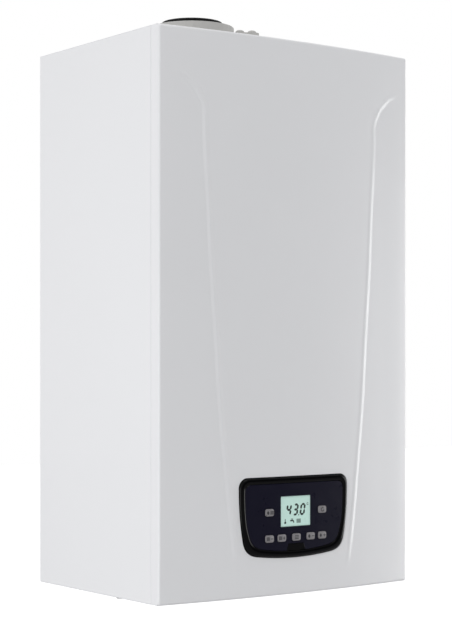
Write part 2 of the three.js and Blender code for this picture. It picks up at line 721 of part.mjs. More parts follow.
function frontCover() {
  const outer = prism('plan', coverPlan(0, COVER_BACK), 0, CASE_HEIGHT);
  const inner = prism('plan', coverPlan(SHEET, COVER_BACK + OVERLAP), SHEET, CASE_HEIGHT - SHEET);
  const opening = prism('front', fasciaOutline(FASCIA_GAP), bowAt(0, FASCIA_PROUD), BOX_FRONT);
  let solid = outer.subtract(inner).subtract(opening);
  for (const side of [-1, 1]) {
    const x = side * TAB_X;
    const tab = block(
      [x - TAB_WIDTH / 2, COVER_BACK - OVERLAP, 0],
      [x + TAB_WIDTH / 2, TRAY_FRONT + TAB_REACH, SHEET],
    );
    const hole = bar('z', SCREW_SHANK + FIT, -OVERLAP, SHEET + OVERLAP, [x, SCREW_Y], SMALL);
    solid = solid.add(tab).subtract(hole);
  }
  return solid;
}

function coverScrew(side) {
  const x = side * TAB_X;
  const head = bar('z', SCREW_HEAD, -FIT - SCREW_HEAD_HEIGHT, -FIT, [x, SCREW_Y]);
  return head.add(bar('z', SCREW_SHANK, -FIT - OVERLAP, SCREW_LENGTH, [x, SCREW_Y], SMALL));
}

// ---- Flue --------------------------------------------------------------------------------------
const LUG_ANGLE = THREE.MathUtils.degToRad(LUG_TURN);

/** A point on the sampling lug, at a distance from the flue's axis. */
function onLug(distance) {
  return [Math.cos(LUG_ANGLE) * distance, Math.sin(LUG_ANGLE) * distance - FLUE_SETBACK];
}

function flueAdapter() {
  const centre = [0, -FLUE_SETBACK];
  const base = CASE_HEIGHT + FIT;
  const rim = CASE_HEIGHT + TURRET_HEIGHT;
  const bore = TURRET_RADIUS - TURRET_WALL;
  const ribTop = base + RIB_HEIGHT * 2;
  const flange = ring('z', bore, TURRET_FLANGE, base, base + TURRET_FLANGE_THICKNESS, centre, FINE);
  const socket = ring('z', bore, TURRET_RADIUS, base, rim, centre, FINE);
  const sleeve = ring('z', FLUE_RADIUS + FIT, SLEEVE_RADIUS, ribTop - RIB_HEIGHT, rim, centre, FINE);
  const ribs = [0, 1, 2].map((i) => {
    const length = TURRET_RADIUS - SLEEVE_RADIUS;
    const rib = new THREE.BoxGeometry(length, RIB_THICKNESS, RIB_HEIGHT);
    rib.translate(SLEEVE_RADIUS + length / 2 - TURRET_WALL / 2, 0, ribTop - RIB_HEIGHT / 2);
    rib.rotateZ((i * 2 * Math.PI) / 3 + Math.PI / 2);
    return solidOf(rib.translate(...centre, 0));
  });
  const lugLength = LUG_REACH - TURRET_RADIUS + 1;
  const lug = new THREE.BoxGeometry(lugLength, LUG_WIDTH, LUG_HEIGHT);
  lug.translate(LUG_REACH - lugLength / 2, 0, base + LUG_HEIGHT / 2);
  lug.rotateZ(LUG_ANGLE);
  let solid = joined([flange, socket, sleeve, ...ribs, solidOf(lug.translate(...centre, 0))]);
  const lugTop = base + LUG_HEIGHT;
  for (const place of CAP_PLACES) {
    const depth = lugTop - CAP_STEM_LENGTH - 2;
    solid = solid.subtract(bar('z', CAP_STEM + FIT, depth, lugTop + 1, onLug(place), SMALL));
  }
  return solid;
}

function samplingCap(place) {
  const base = CASE_HEIGHT + FIT + LUG_HEIGHT + FIT;
  const head = bar('z', CAP_RADIUS, base, base + CAP_HEIGHT, onLug(place));
  return head.add(bar('z', CAP_STEM, base - CAP_STEM_LENGTH, base + 1, onLug(place), SMALL));
}

function flueDuct() {
  const bottom = EXCHANGER_Z + EXCHANGER_RADIUS;
  const top = CASE_HEIGHT + TURRET_HEIGHT + FLUE_PROUD;
  return ring('z', FLUE_RADIUS - FLUE_WALL, FLUE_RADIUS, bottom, top, [0, -FLUE_SETBACK], FINE);
}

function flueSeal() {
  const base = CASE_HEIGHT + TURRET_HEIGHT + FIT;
  const inner = FLUE_RADIUS + FIT;
  const top = base + SEAL_HEIGHT;
  const profile = [
    [inner, base], [SLEEVE_RADIUS, base], [SLEEVE_RADIUS, top - 2],
    [SLEEVE_RADIUS - 2, top], [inner, top], [inner, base],
  ];
  return turned('z', profile, [0, -FLUE_SETBACK], FINE);
}

// ---- Heat exchanger and burner -----------------------------------------------------------------
const DRUM_CENTRE = [EXCHANGER_X, EXCHANGER_Z];
const ELECTRODE_AT = [EXCHANGER_X - (COIL_INNER + BURNER_FLANGE) / 2, EXCHANGER_Z];

/** A stub that hangs from the drum, set off sideways from its axis. */
function drumStub(x, y, radius, end) {
  const top = EXCHANGER_Z - Math.sqrt(EXCHANGER_RADIUS ** 2 - (x - EXCHANGER_X) ** 2) + EXCHANGER_WALL;
  return bar('z', radius, end, top, [x, y]);
}

function exchangerShell() {
  const back = -EXCHANGER_REAR;
  const inside = EXCHANGER_RADIUS - EXCHANGER_WALL;
  const drum = turned('y', [
    [0, back], [EXCHANGER_RADIUS, back], [EXCHANGER_RADIUS, DRUM_FRONT], [inside, DRUM_FRONT],
    [inside, back - EXCHANGER_WALL], [0, back - EXCHANGER_WALL],
  ], DRUM_CENTRE, FINE);
  const saddle = block(
    [EXCHANGER_X - SADDLE_WIDTH / 2, back - OVERLAP, EXCHANGER_Z - SADDLE_HEIGHT / 2],
    [EXCHANGER_X + SADDLE_WIDTH / 2, SEAT_FACE, EXCHANGER_Z + SADDLE_HEIGHT / 2],
  );
  const collarTop = EXCHANGER_Z + EXCHANGER_RADIUS + COLLAR_RISE;
  const rise = Math.sqrt(inside ** 2 - EXCHANGER_X ** 2);
  const flue = [0, -FLUE_SETBACK];
  const outer = FLUE_RADIUS + FIT + COLLAR_WALL;
  const collarLow = EXCHANGER_Z + Math.sqrt(inside ** 2 - (outer - EXCHANGER_X) ** 2) + OVERLAP;
  const collar = bar('z', outer, collarLow, collarTop, flue, FINE);
  const stubs = STUB_X.map((x) => drumStub(x, -STUB_SETBACK, STUB_RADIUS, STUB_END));
  const drainX = EXCHANGER_X - DRAIN_OFFSET;
  const drain = drumStub(drainX, -DRAIN_SETBACK, DRAIN_RADIUS, STUB_END);
  let solid = joined([drum, saddle, collar, ...stubs, drain]);
  const cavity = bar('y', inside, back - EXCHANGER_WALL, DRUM_FRONT - OVERLAP, DRUM_CENTRE, FINE);
  solid = solid.subtract(cavity);
  const socketLow = EXCHANGER_Z + rise - FLUE_RADIUS;
  solid = solid.subtract(bar('z', FLUE_RADIUS + FIT, socketLow, collarTop + OVERLAP, flue, FINE));
  const [low, high] = [STUB_END - OVERLAP, EXCHANGER_Z - inside / 2];
  for (const x of STUB_X) {
    solid = solid.subtract(bar('z', STUB_BORE, low, high, [x, -STUB_SETBACK], SMALL));
  }
  return solid.subtract(bar('z', DRAIN_BORE, low, high, [drainX, -DRAIN_SETBACK], SMALL));
}

/** The coil's turns, drawn as one ring with a groove between each pair of turns. */
function exchangerCoil() {
  const outer = EXCHANGER_RADIUS - EXCHANGER_WALL - FIT;
  const [back, front] = [-EXCHANGER_REAR - COIL_MARGIN, DRUM_FRONT + COIL_MARGIN];
  const pitch = (back - front) / COIL_TURNS;
  const groove = COIL_GROOVE / 2;
  const profile = [[COIL_INNER, back], [outer, back]];
  for (let turn = 1; turn < COIL_TURNS; turn += 1) {
    const y = back - turn * pitch;
    profile.push([outer, y + groove], [outer - COIL_GROOVE, y], [outer, y - groove]);
  }
  profile.push([outer, front], [COIL_INNER, front], [COIL_INNER, back]);
  return turned('y', profile, DRUM_CENTRE, FINE);
}

function burnerDoor() {
  const disc = bar('y', EXCHANGER_RADIUS - DOOR_INSET, DOOR_FRONT, DOOR_BACK, DRUM_CENTRE, FINE);
  const through = [DOOR_FRONT - OVERLAP, DOOR_BACK + OVERLAP];
  const inlet = bar('y', BURNER_RADIUS - BURNER_WALL, ...through, DRUM_CENTRE);
  const electrode = bar('y', ELECTRODE_RADIUS + FIT, ...through, ELECTRODE_AT, SMALL);
  return disc.subtract(inlet).subtract(electrode);
}

function burner() {
  const flangeBack = DOOR_BACK + FIT + BURNER_WALL;
  const end = -(EXCHANGER_REAR + BURNER_MARGIN);
  return turned('y', [
    [0, end], [BURNER_RADIUS, end], [BURNER_RADIUS, flangeBack], [BURNER_FLANGE, flangeBack],
    [BURNER_FLANGE, flangeBack - BURNER_WALL], [BURNER_RADIUS - BURNER_WALL, flangeBack - BURNER_WALL],
    [BURNER_RADIUS - BURNER_WALL, end - BURNER_WALL], [0, end - BURNER_WALL],
  ], DRUM_CENTRE, ROUND);
}

function ignitionElectrode() {
  const face = DOOR_FRONT - FIT;
  const head = bar('y', ELECTRODE_RADIUS * 2, face - ELECTRODE_HEAD, face, ELECTRODE_AT, SMALL);
  const rod = bar('y', ELECTRODE_RADIUS, face - OVERLAP, DOOR_BACK + ELECTRODE_REACH, ELECTRODE_AT, SMALL);
  return head.add(rod);
}

// ---- Fan, mixer and gas ------------------------------------------------------------------------
const FAN_CENTRE = [FAN_X, FAN_Z];

/** The fan outlet's box, drawn in by a wall; its top is open when the wall isn't zero. */
function fanOutlet(wall) {
  const half = FAN_OUTLET_WIDTH / 2 - wall;
  const front = FAN_FRONT + FAN_OUTLET_SETBACK;
  return block(
    [EXCHANGER_X - half, front + wall, FAN_Z],
    [EXCHANGER_X + half, front + FAN_OUTLET_DEPTH - wall, OUTLET_TOP + (wall ? OVERLAP : 0)],
  );
}

function fanHousing() {
  const volute = bar('y', FAN_RADIUS, FAN_FRONT, FAN_BACK, FAN_CENTRE, FINE);
  const [front, back] = [FAN_FRONT + FAN_WALL, FAN_BACK + OVERLAP];
  const cavity = bar('y', FAN_RADIUS - FAN_WALL, front, back, FAN_CENTRE, FINE);
  const inlet = bar('y', FAN_INLET, FAN_FRONT - OVERLAP, FAN_BACK, FAN_CENTRE);
  return volute.add(fanOutlet(0)).subtract(cavity).subtract(fanOutlet(FAN_WALL)).subtract(inlet);
}

function fanMotor() {
  const face = FAN_BACK + FIT;
  const flange = bar('y', FAN_RADIUS + FAN_WALL, face, face + FAN_FLANGE, FAN_CENTRE, FINE);
  const end = face + FAN_FLANGE + FAN_MOTOR_LENGTH;
  return flange.add(bar('y', FAN_MOTOR_RADIUS, face + OVERLAP, end, FAN_CENTRE, FINE));
}

function fanImpeller() {
  const plate = FAN_BACK - IMPELLER_BACK_GAP;
  const front = plate - IMPELLER_DEPTH;
  const [thin, radius] = [IMPELLER_PLATE, IMPELLER_RADIUS];
  const hub = bar('y', IMPELLER_HUB, plate - IMPELLER_HUB_REACH, FAN_BACK, FAN_CENTRE);
  const disc = bar('y', radius, plate - thin, plate, FAN_CENTRE, FINE);
  const rim = ring('y', radius - IMPELLER_RIM, radius, front, front + thin, FAN_CENTRE, FINE);
  const length = radius - FAN_INLET - IMPELLER_EYE_GAP;
  const blades = Array.from({ length: IMPELLER_BLADES }, (_, i) => {
    const blade = new THREE.BoxGeometry(length, IMPELLER_DEPTH - thin / 2, IMPELLER_BLADE_THICKNESS);
    blade.rotateY(IMPELLER_BLADE_PITCH).translate(radius - (length + thin) / 2, 0, 0);
    blade.rotateY((i * 2 * Math.PI) / IMPELLER_BLADES);
    return solidOf(blade.translate(FAN_X, (plate + front) / 2, FAN_Z));
  });
  return joined([hub, disc, rim, ...blades]);
}

/** The duct that takes the mixture from the fan's outlet up and back into the burner door. */
function premixDuct() {
  const [back, front] = [DOOR_FRONT - FIT, DOOR_FRONT - FIT - PLENUM_DEPTH];
  const half = FAN_OUTLET_WIDTH / 2;
  const [low, high] = [OUTLET_TOP + FIT, EXCHANGER_Z + BURNER_RADIUS];
  const wall = PLENUM_WALL;
  const outer = block([EXCHANGER_X - half, front, low], [EXCHANGER_X + half, back, high]);
  const inner = block(
    [EXCHANGER_X - half + wall, front + wall, low - OVERLAP],
    [EXCHANGER_X + half - wall, back - wall, high - wall],
  );
  const port = bar('y', half - wall * 2, back - wall - OVERLAP, back + OVERLAP, DRUM_CENTRE);
  return outer.subtract(inner).subtract(port);
}

function gasMixer() {
  const at = [MIXER_AXIS, FAN_Z];
  const body = bar('y', MIXER_RADIUS, MIXER_FRONT, MIXER_BACK, FAN_CENTRE);
  const left = FAN_X - MIXER_RADIUS - MIXER_STUB;
  const right = VALVE_LEFT - FIT;
  const air = bar('x', AIR_PIPE_RADIUS, left, FAN_X, at);
  const gas = bar('x', GAS_STUB_RADIUS, FAN_X, right, at, SMALL);
  const chamber = bar('y', MIXER_BORE, MIXER_FRONT + MIXER_WALL, MIXER_BACK + OVERLAP, FAN_CENTRE);
  const airBore = bar('x', AIR_PIPE_BORE, left - OVERLAP, FAN_X, at);
  const gasBore = bar('x', GAS_PIPE_BORE, FAN_X, right + OVERLAP, at, SMALL);
  return joined([body, air, gas]).subtract(chamber).subtract(airBore).subtract(gasBore);
}

function airPipe() {
  const start = FAN_X - MIXER_RADIUS - MIXER_STUB - FIT;
  const route = [
    [start, MIXER_AXIS, FAN_Z],
    [AIR_PIPE_X, MIXER_AXIS, FAN_Z],
    [AIR_PIPE_X, MIXER_AXIS, FAN_Z + AIR_PIPE_HEIGHT],
  ];
  return pipe(route, AIR_PIPE_RADIUS, AIR_PIPE_BORE, AIR_PIPE_BEND);
}

function gasValve() {
  const [low, high] = [FAN_Z - VALVE_HEIGHT / 2, FAN_Z + VALVE_HEIGHT / 2];
  const body = block([VALVE_LEFT, MIXER_FRONT, low], [VALVE_LEFT + VALVE_WIDTH, VALVE_BACK, high]);
  const middle = VALVE_LEFT + VALVE_WIDTH / 2;
  const offset = VALVE_DEPTH / 4;
  const radius = Math.min(VALVE_COIL_RADIUS, offset - FIT);
  const coils = [MIXER_FRONT + offset, VALVE_BACK - offset].map((y) => (
    bar('z', radius, high - OVERLAP, high + VALVE_COIL_HEIGHT, [middle, y])
  ));
  return joined([body, ...coils]);
}

function gasSupplyPipe() {
  const x = VALVE_LEFT + VALVE_WIDTH / 2;
  const top = MANIFOLD_LIFT;
  const cap = ring('z', GAS_PIPE_BORE, UNION_RADIUS, top - GAS_CAP, top, [0, UNION_Y]);
  const route = [
    [0, UNION_Y, top - GAS_CAP / 2], [0, UNION_Y, FAN_Z],
    [x, VALVE_BACK + GAS_PIPE_RUN, FAN_Z], [x, VALVE_BACK + FIT, FAN_Z],
  ];
  const line = pipe(route, GAS_PIPE_RADIUS, GAS_PIPE_BORE, GAS_PIPE_RADIUS * 2);
  return joined([unionNeck(0, top), cap, line]);
}

// ---- Water side --------------------------------------------------------------------------------

/** A threaded connection below the casing, with the collar that seats on the tray. */
function unionNeck(x, top) {
  const neck = ring('z', UNION_BORE, UNION_RADIUS, -UNION_DROP, top, [x, UNION_Y]);
  const collarTop = TRAY_SEAT + UNION_COLLAR_HEIGHT;
  return neck.add(ring('z', UNION_BORE, UNION_COLLAR, TRAY_SEAT, collarTop, [x, UNION_Y]));
}

/** A brass block over two connections, at the left or the right. */
function manifold(side) {
  const ends = [side * (UNION_PITCH - MANIFOLD_MARGIN), side * (UNION_PITCH * 2 + MANIFOLD_MARGIN)];
  const low = [Math.min(...ends), MANIFOLD_FRONT, MANIFOLD_LIFT];
  let solid = block(low, [Math.max(...ends), -MANIFOLD_REAR, MANIFOLD_TOP]);
  for (const place of [1, 2]) {
    const x = side * place * UNION_PITCH;
    solid = solid.add(unionNeck(x, MANIFOLD_LIFT + OVERLAP));
    const bore = bar('z', UNION_BORE, -UNION_DROP - OVERLAP, MANIFOLD_LIFT + UNION_BORE, [x, UNION_Y]);
    solid = solid.subtract(bore);
  }
  return solid;
}

const MANIFOLD_Y = (MANIFOLD_FRONT - MANIFOLD_REAR) / 2;
const DIVERTER_AT = [-UNION_PITCH * 2, MANIFOLD_Y];

function flowManifold() {
  const depth = MANIFOLD_TOP - STEM_LENGTH - STEM_TRAVEL - OVERLAP;
  return manifold(-1).subtract(bar('z', STEM_RADIUS + FIT, depth, MANIFOLD_TOP + OVERLAP, DIVERTER_AT));
}

function diverterStem() {
  return bar('z', STEM_RADIUS, MANIFOLD_TOP - STEM_LENGTH, MANIFOLD_TOP, DIVERTER_AT);
}

function diverterActuator() {
  const base = MANIFOLD_TOP + FIT;
  const body = bar('z', ACTUATOR_RADIUS, base, base + ACTUATOR_HEIGHT, DIVERTER_AT);
  const [x, y] = DIVERTER_AT;
  const [width, reach, height] = ACTUATOR_PLUG;
  const high = base + ACTUATOR_HEIGHT - ACTUATOR_PLUG_DROP;
  const front = y - ACTUATOR_RADIUS - reach;
  return body.add(block([x - width / 2, front, high - height], [x + width / 2, y, high]));
}

/** The plate exchanger's plates, drawn as one block with a groove between each pair. */
function plateExchanger() {
  const back = MANIFOLD_FRONT - FIT;
  const [low, high] = [PLATE_LIFT, PLATE_LIFT + PLATE_HEIGHT];
  const grooves = Math.round(PLATE_DEPTH / PLATE_GROOVE_PITCH) - 1;
  const top = [[back, high]];
  for (let i = 1; i <= grooves; i += 1) {
    const y = back - i * (PLATE_DEPTH / (grooves + 1));
    top.push([y + PLATE_GROOVE / 2, high], [y, high - PLATE_GROOVE], [y - PLATE_GROOVE / 2, high]);
  }
  top.push([back - PLATE_DEPTH, high]);
  const bottom = top.map(([y, z]) => [y, low + high - z]).reverse();
  return prism('side', outline([...top, ...bottom]), -PLATE_WIDTH / 2, PLATE_WIDTH / 2);
}

const PUMP_CENTRE = [PUMP_X, PUMP_LIFT];
const PUMP_PORT = [PUMP_PORT_X, -(PUMP_REAR + STUB_RADIUS + PUMP_WALL)];
const VENT_AT = [PUMP_X + PUMP_RADIUS / 2, PUMP_Y];

function pumpHousing() {
  const body = bar('y', PUMP_RADIUS, PUMP_FRONT, -PUMP_REAR, PUMP_CENTRE, FINE);
  const neck = bar('z', PUMP_NECK, MANIFOLD_TOP + FIT, PUMP_LIFT, [PUMP_X, PUMP_Y]);
  const port = bar('z', STUB_RADIUS, PUMP_LIFT, PUMP_PORT_TOP, PUMP_PORT);
  const boss = bar('z', VENT_RADIUS + OVERLAP, PUMP_LIFT, PUMP_LIFT + PUMP_RADIUS, VENT_AT);
  const [open, end] = [PUMP_FRONT - OVERLAP, PUMP_FRONT + ROTOR_DEPTH * 2];
  const cavity = bar('y', ROTOR_RADIUS + PUMP_WALL, open, end, PUMP_CENTRE, FINE);
  const [low, high] = [PUMP_PORT_TOP - PUMP_PORT_DEPTH, PUMP_PORT_TOP + OVERLAP];
  const bore = bar('z', STUB_BORE, low, high, PUMP_PORT, SMALL);
  return joined([body, neck, port, boss]).subtract(cavity).subtract(bore);
}

function pumpMotor() {
  const face = PUMP_FRONT - FIT;
  const flange = bar('y', PUMP_RADIUS, face - PUMP_MOTOR_FLANGE, face, PUMP_CENTRE, FINE);
  return flange.add(bar('y', PUMP_MOTOR_RADIUS, face - PUMP_MOTOR_LENGTH, face, PUMP_CENTRE, FINE));
}

function pumpImpeller() {
  const front = PUMP_FRONT + ROTOR_GAP;
  const shaft = bar('y', ROTOR_SHAFT, PUMP_FRONT, front + OVERLAP, PUMP_CENTRE, SMALL);
  return shaft.add(bar('y', ROTOR_RADIUS, front, front + ROTOR_DEPTH, PUMP_CENTRE));
}

function airVent() {
  const base = PUMP_LIFT + PUMP_RADIUS + FIT;
  const body = bar('z', VENT_RADIUS, base, base + VENT_HEIGHT, VENT_AT);
  return body.add(bar('z', VENT_RADIUS / 3, base, base + VENT_HEIGHT + VENT_TIP, VENT_AT, SMALL));
}

function flowPipe() {
  const [x, end] = [-(UNION_PITCH + VENT_RADIUS), MANIFOLD_TOP + FIT];
  return pipe(
    [
      [STUB_X[0], -STUB_SETBACK, STUB_END - FIT], [STUB_X[0], -STUB_SETBACK, STUB_END - FLOW_RUNS[0]],
      [x, MANIFOLD_Y, end + FLOW_RUNS[1]], [x, MANIFOLD_Y, end],
    ],
    PIPE_RADIUS, PIPE_BORE, PIPE_RADIUS * 2,
  );
}

function returnPipe() {
  const start = PUMP_PORT_TOP + FIT;
  return pipe(
    [
      [...PUMP_PORT, start], [...PUMP_PORT, start + RETURN_RUN],
      [STUB_X[1], -STUB_SETBACK, STUB_END - RETURN_RUN], [STUB_X[1], -STUB_SETBACK, STUB_END - FIT],
    ],
    PIPE_RADIUS, PIPE_BORE, PIPE_RADIUS * 2,
  );
}

const VESSEL_Y = SEAT_FACE - VESSEL_RIM - VESSEL_DEPTH / 2;
const VESSEL_PORT_Y = VESSEL_Y - VESSEL_PORT_OFFSET;

function expansionVessel() {
  const middle = [VESSEL_Y, (VESSEL_TOP + VESSEL_BOTTOM) / 2];
  const [left, right] = [VESSEL_RIGHT - VESSEL_THICKNESS, VESSEL_RIGHT];
  const body = prism('side', roundedRect(VESSEL_DEPTH, VESSEL_HEIGHT, VESSEL_CORNER, middle), left, right);
  const [rimDepth, rimHeight] = [VESSEL_DEPTH + 2 * VESSEL_RIM, VESSEL_HEIGHT + 2 * VESSEL_RIM];
  const rimShape = roundedRect(rimDepth, rimHeight, VESSEL_CORNER + VESSEL_RIM, middle);
  const rim = prism('side', rimShape, VESSEL_X - VESSEL_RIM_WIDTH / 2, VESSEL_X + VESSEL_RIM_WIDTH / 2);
  const [low, high] = [VESSEL_BOTTOM - VESSEL_PORT, VESSEL_BOTTOM + OVERLAP];
  const port = bar('z', VESSEL_PORT_RADIUS, low, high, [VESSEL_X, VESSEL_PORT_Y], SMALL);
  return joined([body, rim, port]);
}

function expansionHose() {
  const start = UNION_PITCH * 2 + MANIFOLD_MARGIN + FIT;
  const [middle, end] = [MANIFOLD_LIFT + MANIFOLD_HEIGHT / 2, VESSEL_BOTTOM - VESSEL_PORT - FIT];
  const route = [
    [start, MANIFOLD_Y, middle],
    [VESSEL_X, MANIFOLD_Y, middle],
    [VESSEL_X, MANIFOLD_Y, middle + HOSE_RUNS[0]],
    [VESSEL_X, VESSEL_PORT_Y, end - HOSE_RUNS[1]],
    [VESSEL_X, VESSEL_PORT_Y, end],
  ];
  return pipe(route, HOSE_RADIUS, HOSE_BORE, HOSE_RADIUS * 2);
}

const TRAP_AT = [TRAP_X, -TRAP_SETBACK];
const TRAP_TOP = TRAY_SEAT + TRAP_HEIGHT + TRAP_NECK_HEIGHT;

function condensateTrap() {
  const body = bar('z', TRAP_RADIUS, TRAY_SEAT, TRAY_SEAT + TRAP_HEIGHT, TRAP_AT);
  const neck = bar('z', TRAP_NECK, TRAY_SEAT, TRAP_TOP, TRAP_AT);
  const outlet = bar('z', TRAP_OUTLET, -TRAP_OUTLET_DROP, TRAY_SEAT + OVERLAP, TRAP_AT);
  const low = bar('z', TRAP_BORE, -TRAP_OUTLET_DROP - OVERLAP, TRAP_BORE_DEPTH, TRAP_AT, SMALL);
  const high = bar('z', TRAP_BORE, TRAP_TOP - TRAP_BORE_DEPTH, TRAP_TOP + OVERLAP, TRAP_AT, SMALL);
  return joined([body, neck, outlet]).subtract(low).subtract(high);
}

function condensateHose() {
  const drain = [EXCHANGER_X - DRAIN_OFFSET, -DRAIN_SETBACK];
  const route = [
    [...drain, STUB_END - FIT], [...drain, STUB_END - TRAP_HOSE_RUN],
    [...TRAP_AT, TRAP_TOP + TRAP_HOSE_RUN], [...TRAP_AT, TRAP_TOP + FIT],
  ];
  return pipe(route, HOSE_RADIUS, HOSE_BORE, HOSE_RADIUS * 2);
}

const SAFETY_AT = [UNION_PITCH * 2, MANIFOLD_LIFT + MANIFOLD_HEIGHT / 2];

function safetyValve() {
  const back = MANIFOLD_FRONT - FIT;
  return bar('y', SAFETY_RADIUS, back - SAFETY_LENGTH, back, SAFETY_AT);
}

/** A knob whose grip has a few flat sides. */
function knob(axis, from, to, centre) {
  return bar(axis, KNOB_RADIUS, from, to, centre, KNOB_SIDES);
}

function safetyKnob() {
  const back = MANIFOLD_FRONT - 2 * FIT - SAFETY_LENGTH;
  return knob('y', back - KNOB_HEIGHT, back, SAFETY_AT);
}

const TAP_AT = [UNION_PITCH * 1.5, UNION_Y];

function fillingTap() {
  const top = TRAY_LIFT - FIT;
  const stem = bar('z', TAP_STEM, top - OVERLAP, MANIFOLD_LIFT - FIT, TAP_AT, SMALL);
  return knob('z', top - KNOB_HEIGHT, top, TAP_AT).add(stem);
}

// ---- Control box -------------------------------------------------------------------------------
function controlHousing() {
  const [half, wall] = [BOX_WIDTH / 2, BOX_WALL];
  const outer = block([-half, BOX_FRONT, BOX_BOTTOM], [half, BOX_BACK, BOX_TOP]);
  const inner = block(
    [-half + wall, BOX_FRONT + wall, BOX_BOTTOM + wall],
    [half - wall, BOX_BACK + OVERLAP, BOX_TOP - wall],
  );
  const window = fasciaOutline(-FASCIA_RIM - FASCIA_LEDGE);
  const opening = prism('front', window, BOX_FRONT - OVERLAP, BOX_FRONT + wall + OVERLAP);
  let solid = outer.subtract(inner).subtract(opening);
  const boardMiddle = (FASCIA_TOP + FASCIA_BOTTOM) / 2;
  for (const side of [-1, 1]) {
    const ear = block(
      [side > 0 ? half - wall : -half, PIVOT_Y - EAR_RADIUS, PIVOT_HEIGHT],
      [side > 0 ? half : wall - half, PIVOT_Y + EAR_RADIUS, BOX_BOTTOM + OVERLAP],
    );
    const [near, far] = [side * (half - wall), side * (half + PIVOT_LENGTH)];
    const hub = bar('x', EAR_RADIUS, near, side * half, [PIVOT_Y, PIVOT_HEIGHT]);
    const pin = bar('x', PIVOT_RADIUS, near, far, [PIVOT_Y, PIVOT_HEIGHT]);
    const posts = [-1, 1].map((end) => {
      const inset = BOARD_POST_INSET;
      const at = [side * (BOARD_WIDTH / 2 - inset), boardMiddle + end * (BOARD_HEIGHT / 2 - inset)];
      return bar('y', BOARD_POST, BOX_FRONT + OVERLAP, BOARD_FRONT - FIT, at, SMALL);
    });
    solid = joined([solid, ear, hub, pin, ...posts]);
  }
  return solid;
}

function controlRearCover() {
  const half = BOX_WIDTH / 2;
  return block([-half, BOX_BACK + FIT, BOX_BOTTOM], [half, BOX_BACK + FIT + BOX_WALL, BOX_TOP]);
}

/** A prism seen from the front that reaches from ahead of the fascia to a depth. */
function frontPrism(shape, depth) {
  return prism('front', shape, bowAt(0, FASCIA_PROUD + FASCIA_SPARE), depth);
}

/** The layer behind the fascia's own bowed surface, between two offsets. */
function fasciaLayer(outer, inner) {
  const spare = FASCIA_SPARE;
  return bowLayer(outer, inner, FASCIA_HALF + spare, FASCIA_BOTTOM - spare, FASCIA_TOP + spare);
}

function fasciaFrame() {
  const deep = FASCIA_BACK + OVERLAP;
  const body = frontPrism(fasciaOutline(0), FASCIA_BACK)
    .intersect(fasciaLayer(FASCIA_PROUD, -CASE_DEPTH / 4));
  const pocket = frontPrism(fasciaOutline(FIT - FASCIA_RIM), deep)
    .intersect(fasciaLayer(CASE_DEPTH / 4, PANEL_BACK - FIT));
  const through = frontPrism(fasciaOutline(-FASCIA_RIM - FASCIA_LEDGE), deep);
  return body.subtract(pocket).subtract(through);
}

const BUTTONS = [
  ['button_mode', -BUTTON_OUTER_X, CONTROL_ROW],
  ['button_reset', BUTTON_OUTER_X, CONTROL_ROW],
  ['button_heating_down', -BUTTON_OUTER_X, BUTTON_ROW],
  ['button_heating_up', -BUTTON_INNER_X, BUTTON_ROW],
  ['button_menu', 0, BUTTON_ROW],
  ['button_water_down', BUTTON_INNER_X, BUTTON_ROW],
  ['button_water_up', BUTTON_OUTER_X, BUTTON_ROW],
];

/** The sensor window's outline, grown all round. */
function windowOutline(grow) {
  const base = FASCIA_BOTTOM + FASCIA_RIM;
  const [half, low, top] = [WINDOW_HALF + grow, base - WINDOW_SINK, base + WINDOW_HEIGHT + grow];
  return outline([[-half, low], [half, low], [half - WINDOW_SLOPE, top], [WINDOW_SLOPE - half, top]]);
}

function fasciaPanel() {
  const layer = fasciaLayer(PANEL_FACE, PANEL_BACK);
  let solid = frontPrism(fasciaOutline(-FASCIA_RIM), FASCIA_BACK).intersect(layer);
  const [width, height] = [DISPLAY_WIDTH + 2 * FIT, DISPLAY_HEIGHT + 2 * FIT];
  const screen = roundedRect(width, height, DISPLAY_CORNER, [0, CONTROL_ROW]);
  solid = solid.subtract(frontPrism(screen, FASCIA_BACK));
  for (const [, x, z] of BUTTONS) {
    const hole = roundedRect(BUTTON_WIDTH + 2 * FIT, BUTTON_HEIGHT + 2 * FIT, BUTTON_CORNER + FIT, [x, z]);
    solid = solid.subtract(frontPrism(hole, FASCIA_BACK));
  }
  return solid.subtract(frontPrism(windowOutline(FIT), FASCIA_BACK));
}

function sensorWindow() {
  const body = frontPrism(windowOutline(0), FASCIA_BACK).intersect(fasciaLayer(PANEL_FACE, PANEL_BACK));
  return body.intersect(frontPrism(fasciaOutline(-FASCIA_RIM), FASCIA_BACK));
}

function lcdDisplay() {
  const [reach, rise] = [DISPLAY_WIDTH / 2 + DISPLAY_FLANGE, DISPLAY_HEIGHT / 2 + DISPLAY_FLANGE];
  const step = bowAt(reach, PANEL_BACK) + FIT;
  const face = bowAt(0, PANEL_FACE - DISPLAY_INSET);
  const glass = block(
    [-DISPLAY_WIDTH / 2, face, CONTROL_ROW - DISPLAY_HEIGHT / 2],
    [DISPLAY_WIDTH / 2, step + OVERLAP, CONTROL_ROW + DISPLAY_HEIGHT / 2],
  );
  const carrier = block([-reach, step, CONTROL_ROW - rise], [reach, step + DISPLAY_FLANGE, CONTROL_ROW + rise]);
  return glass.add(carrier);
}

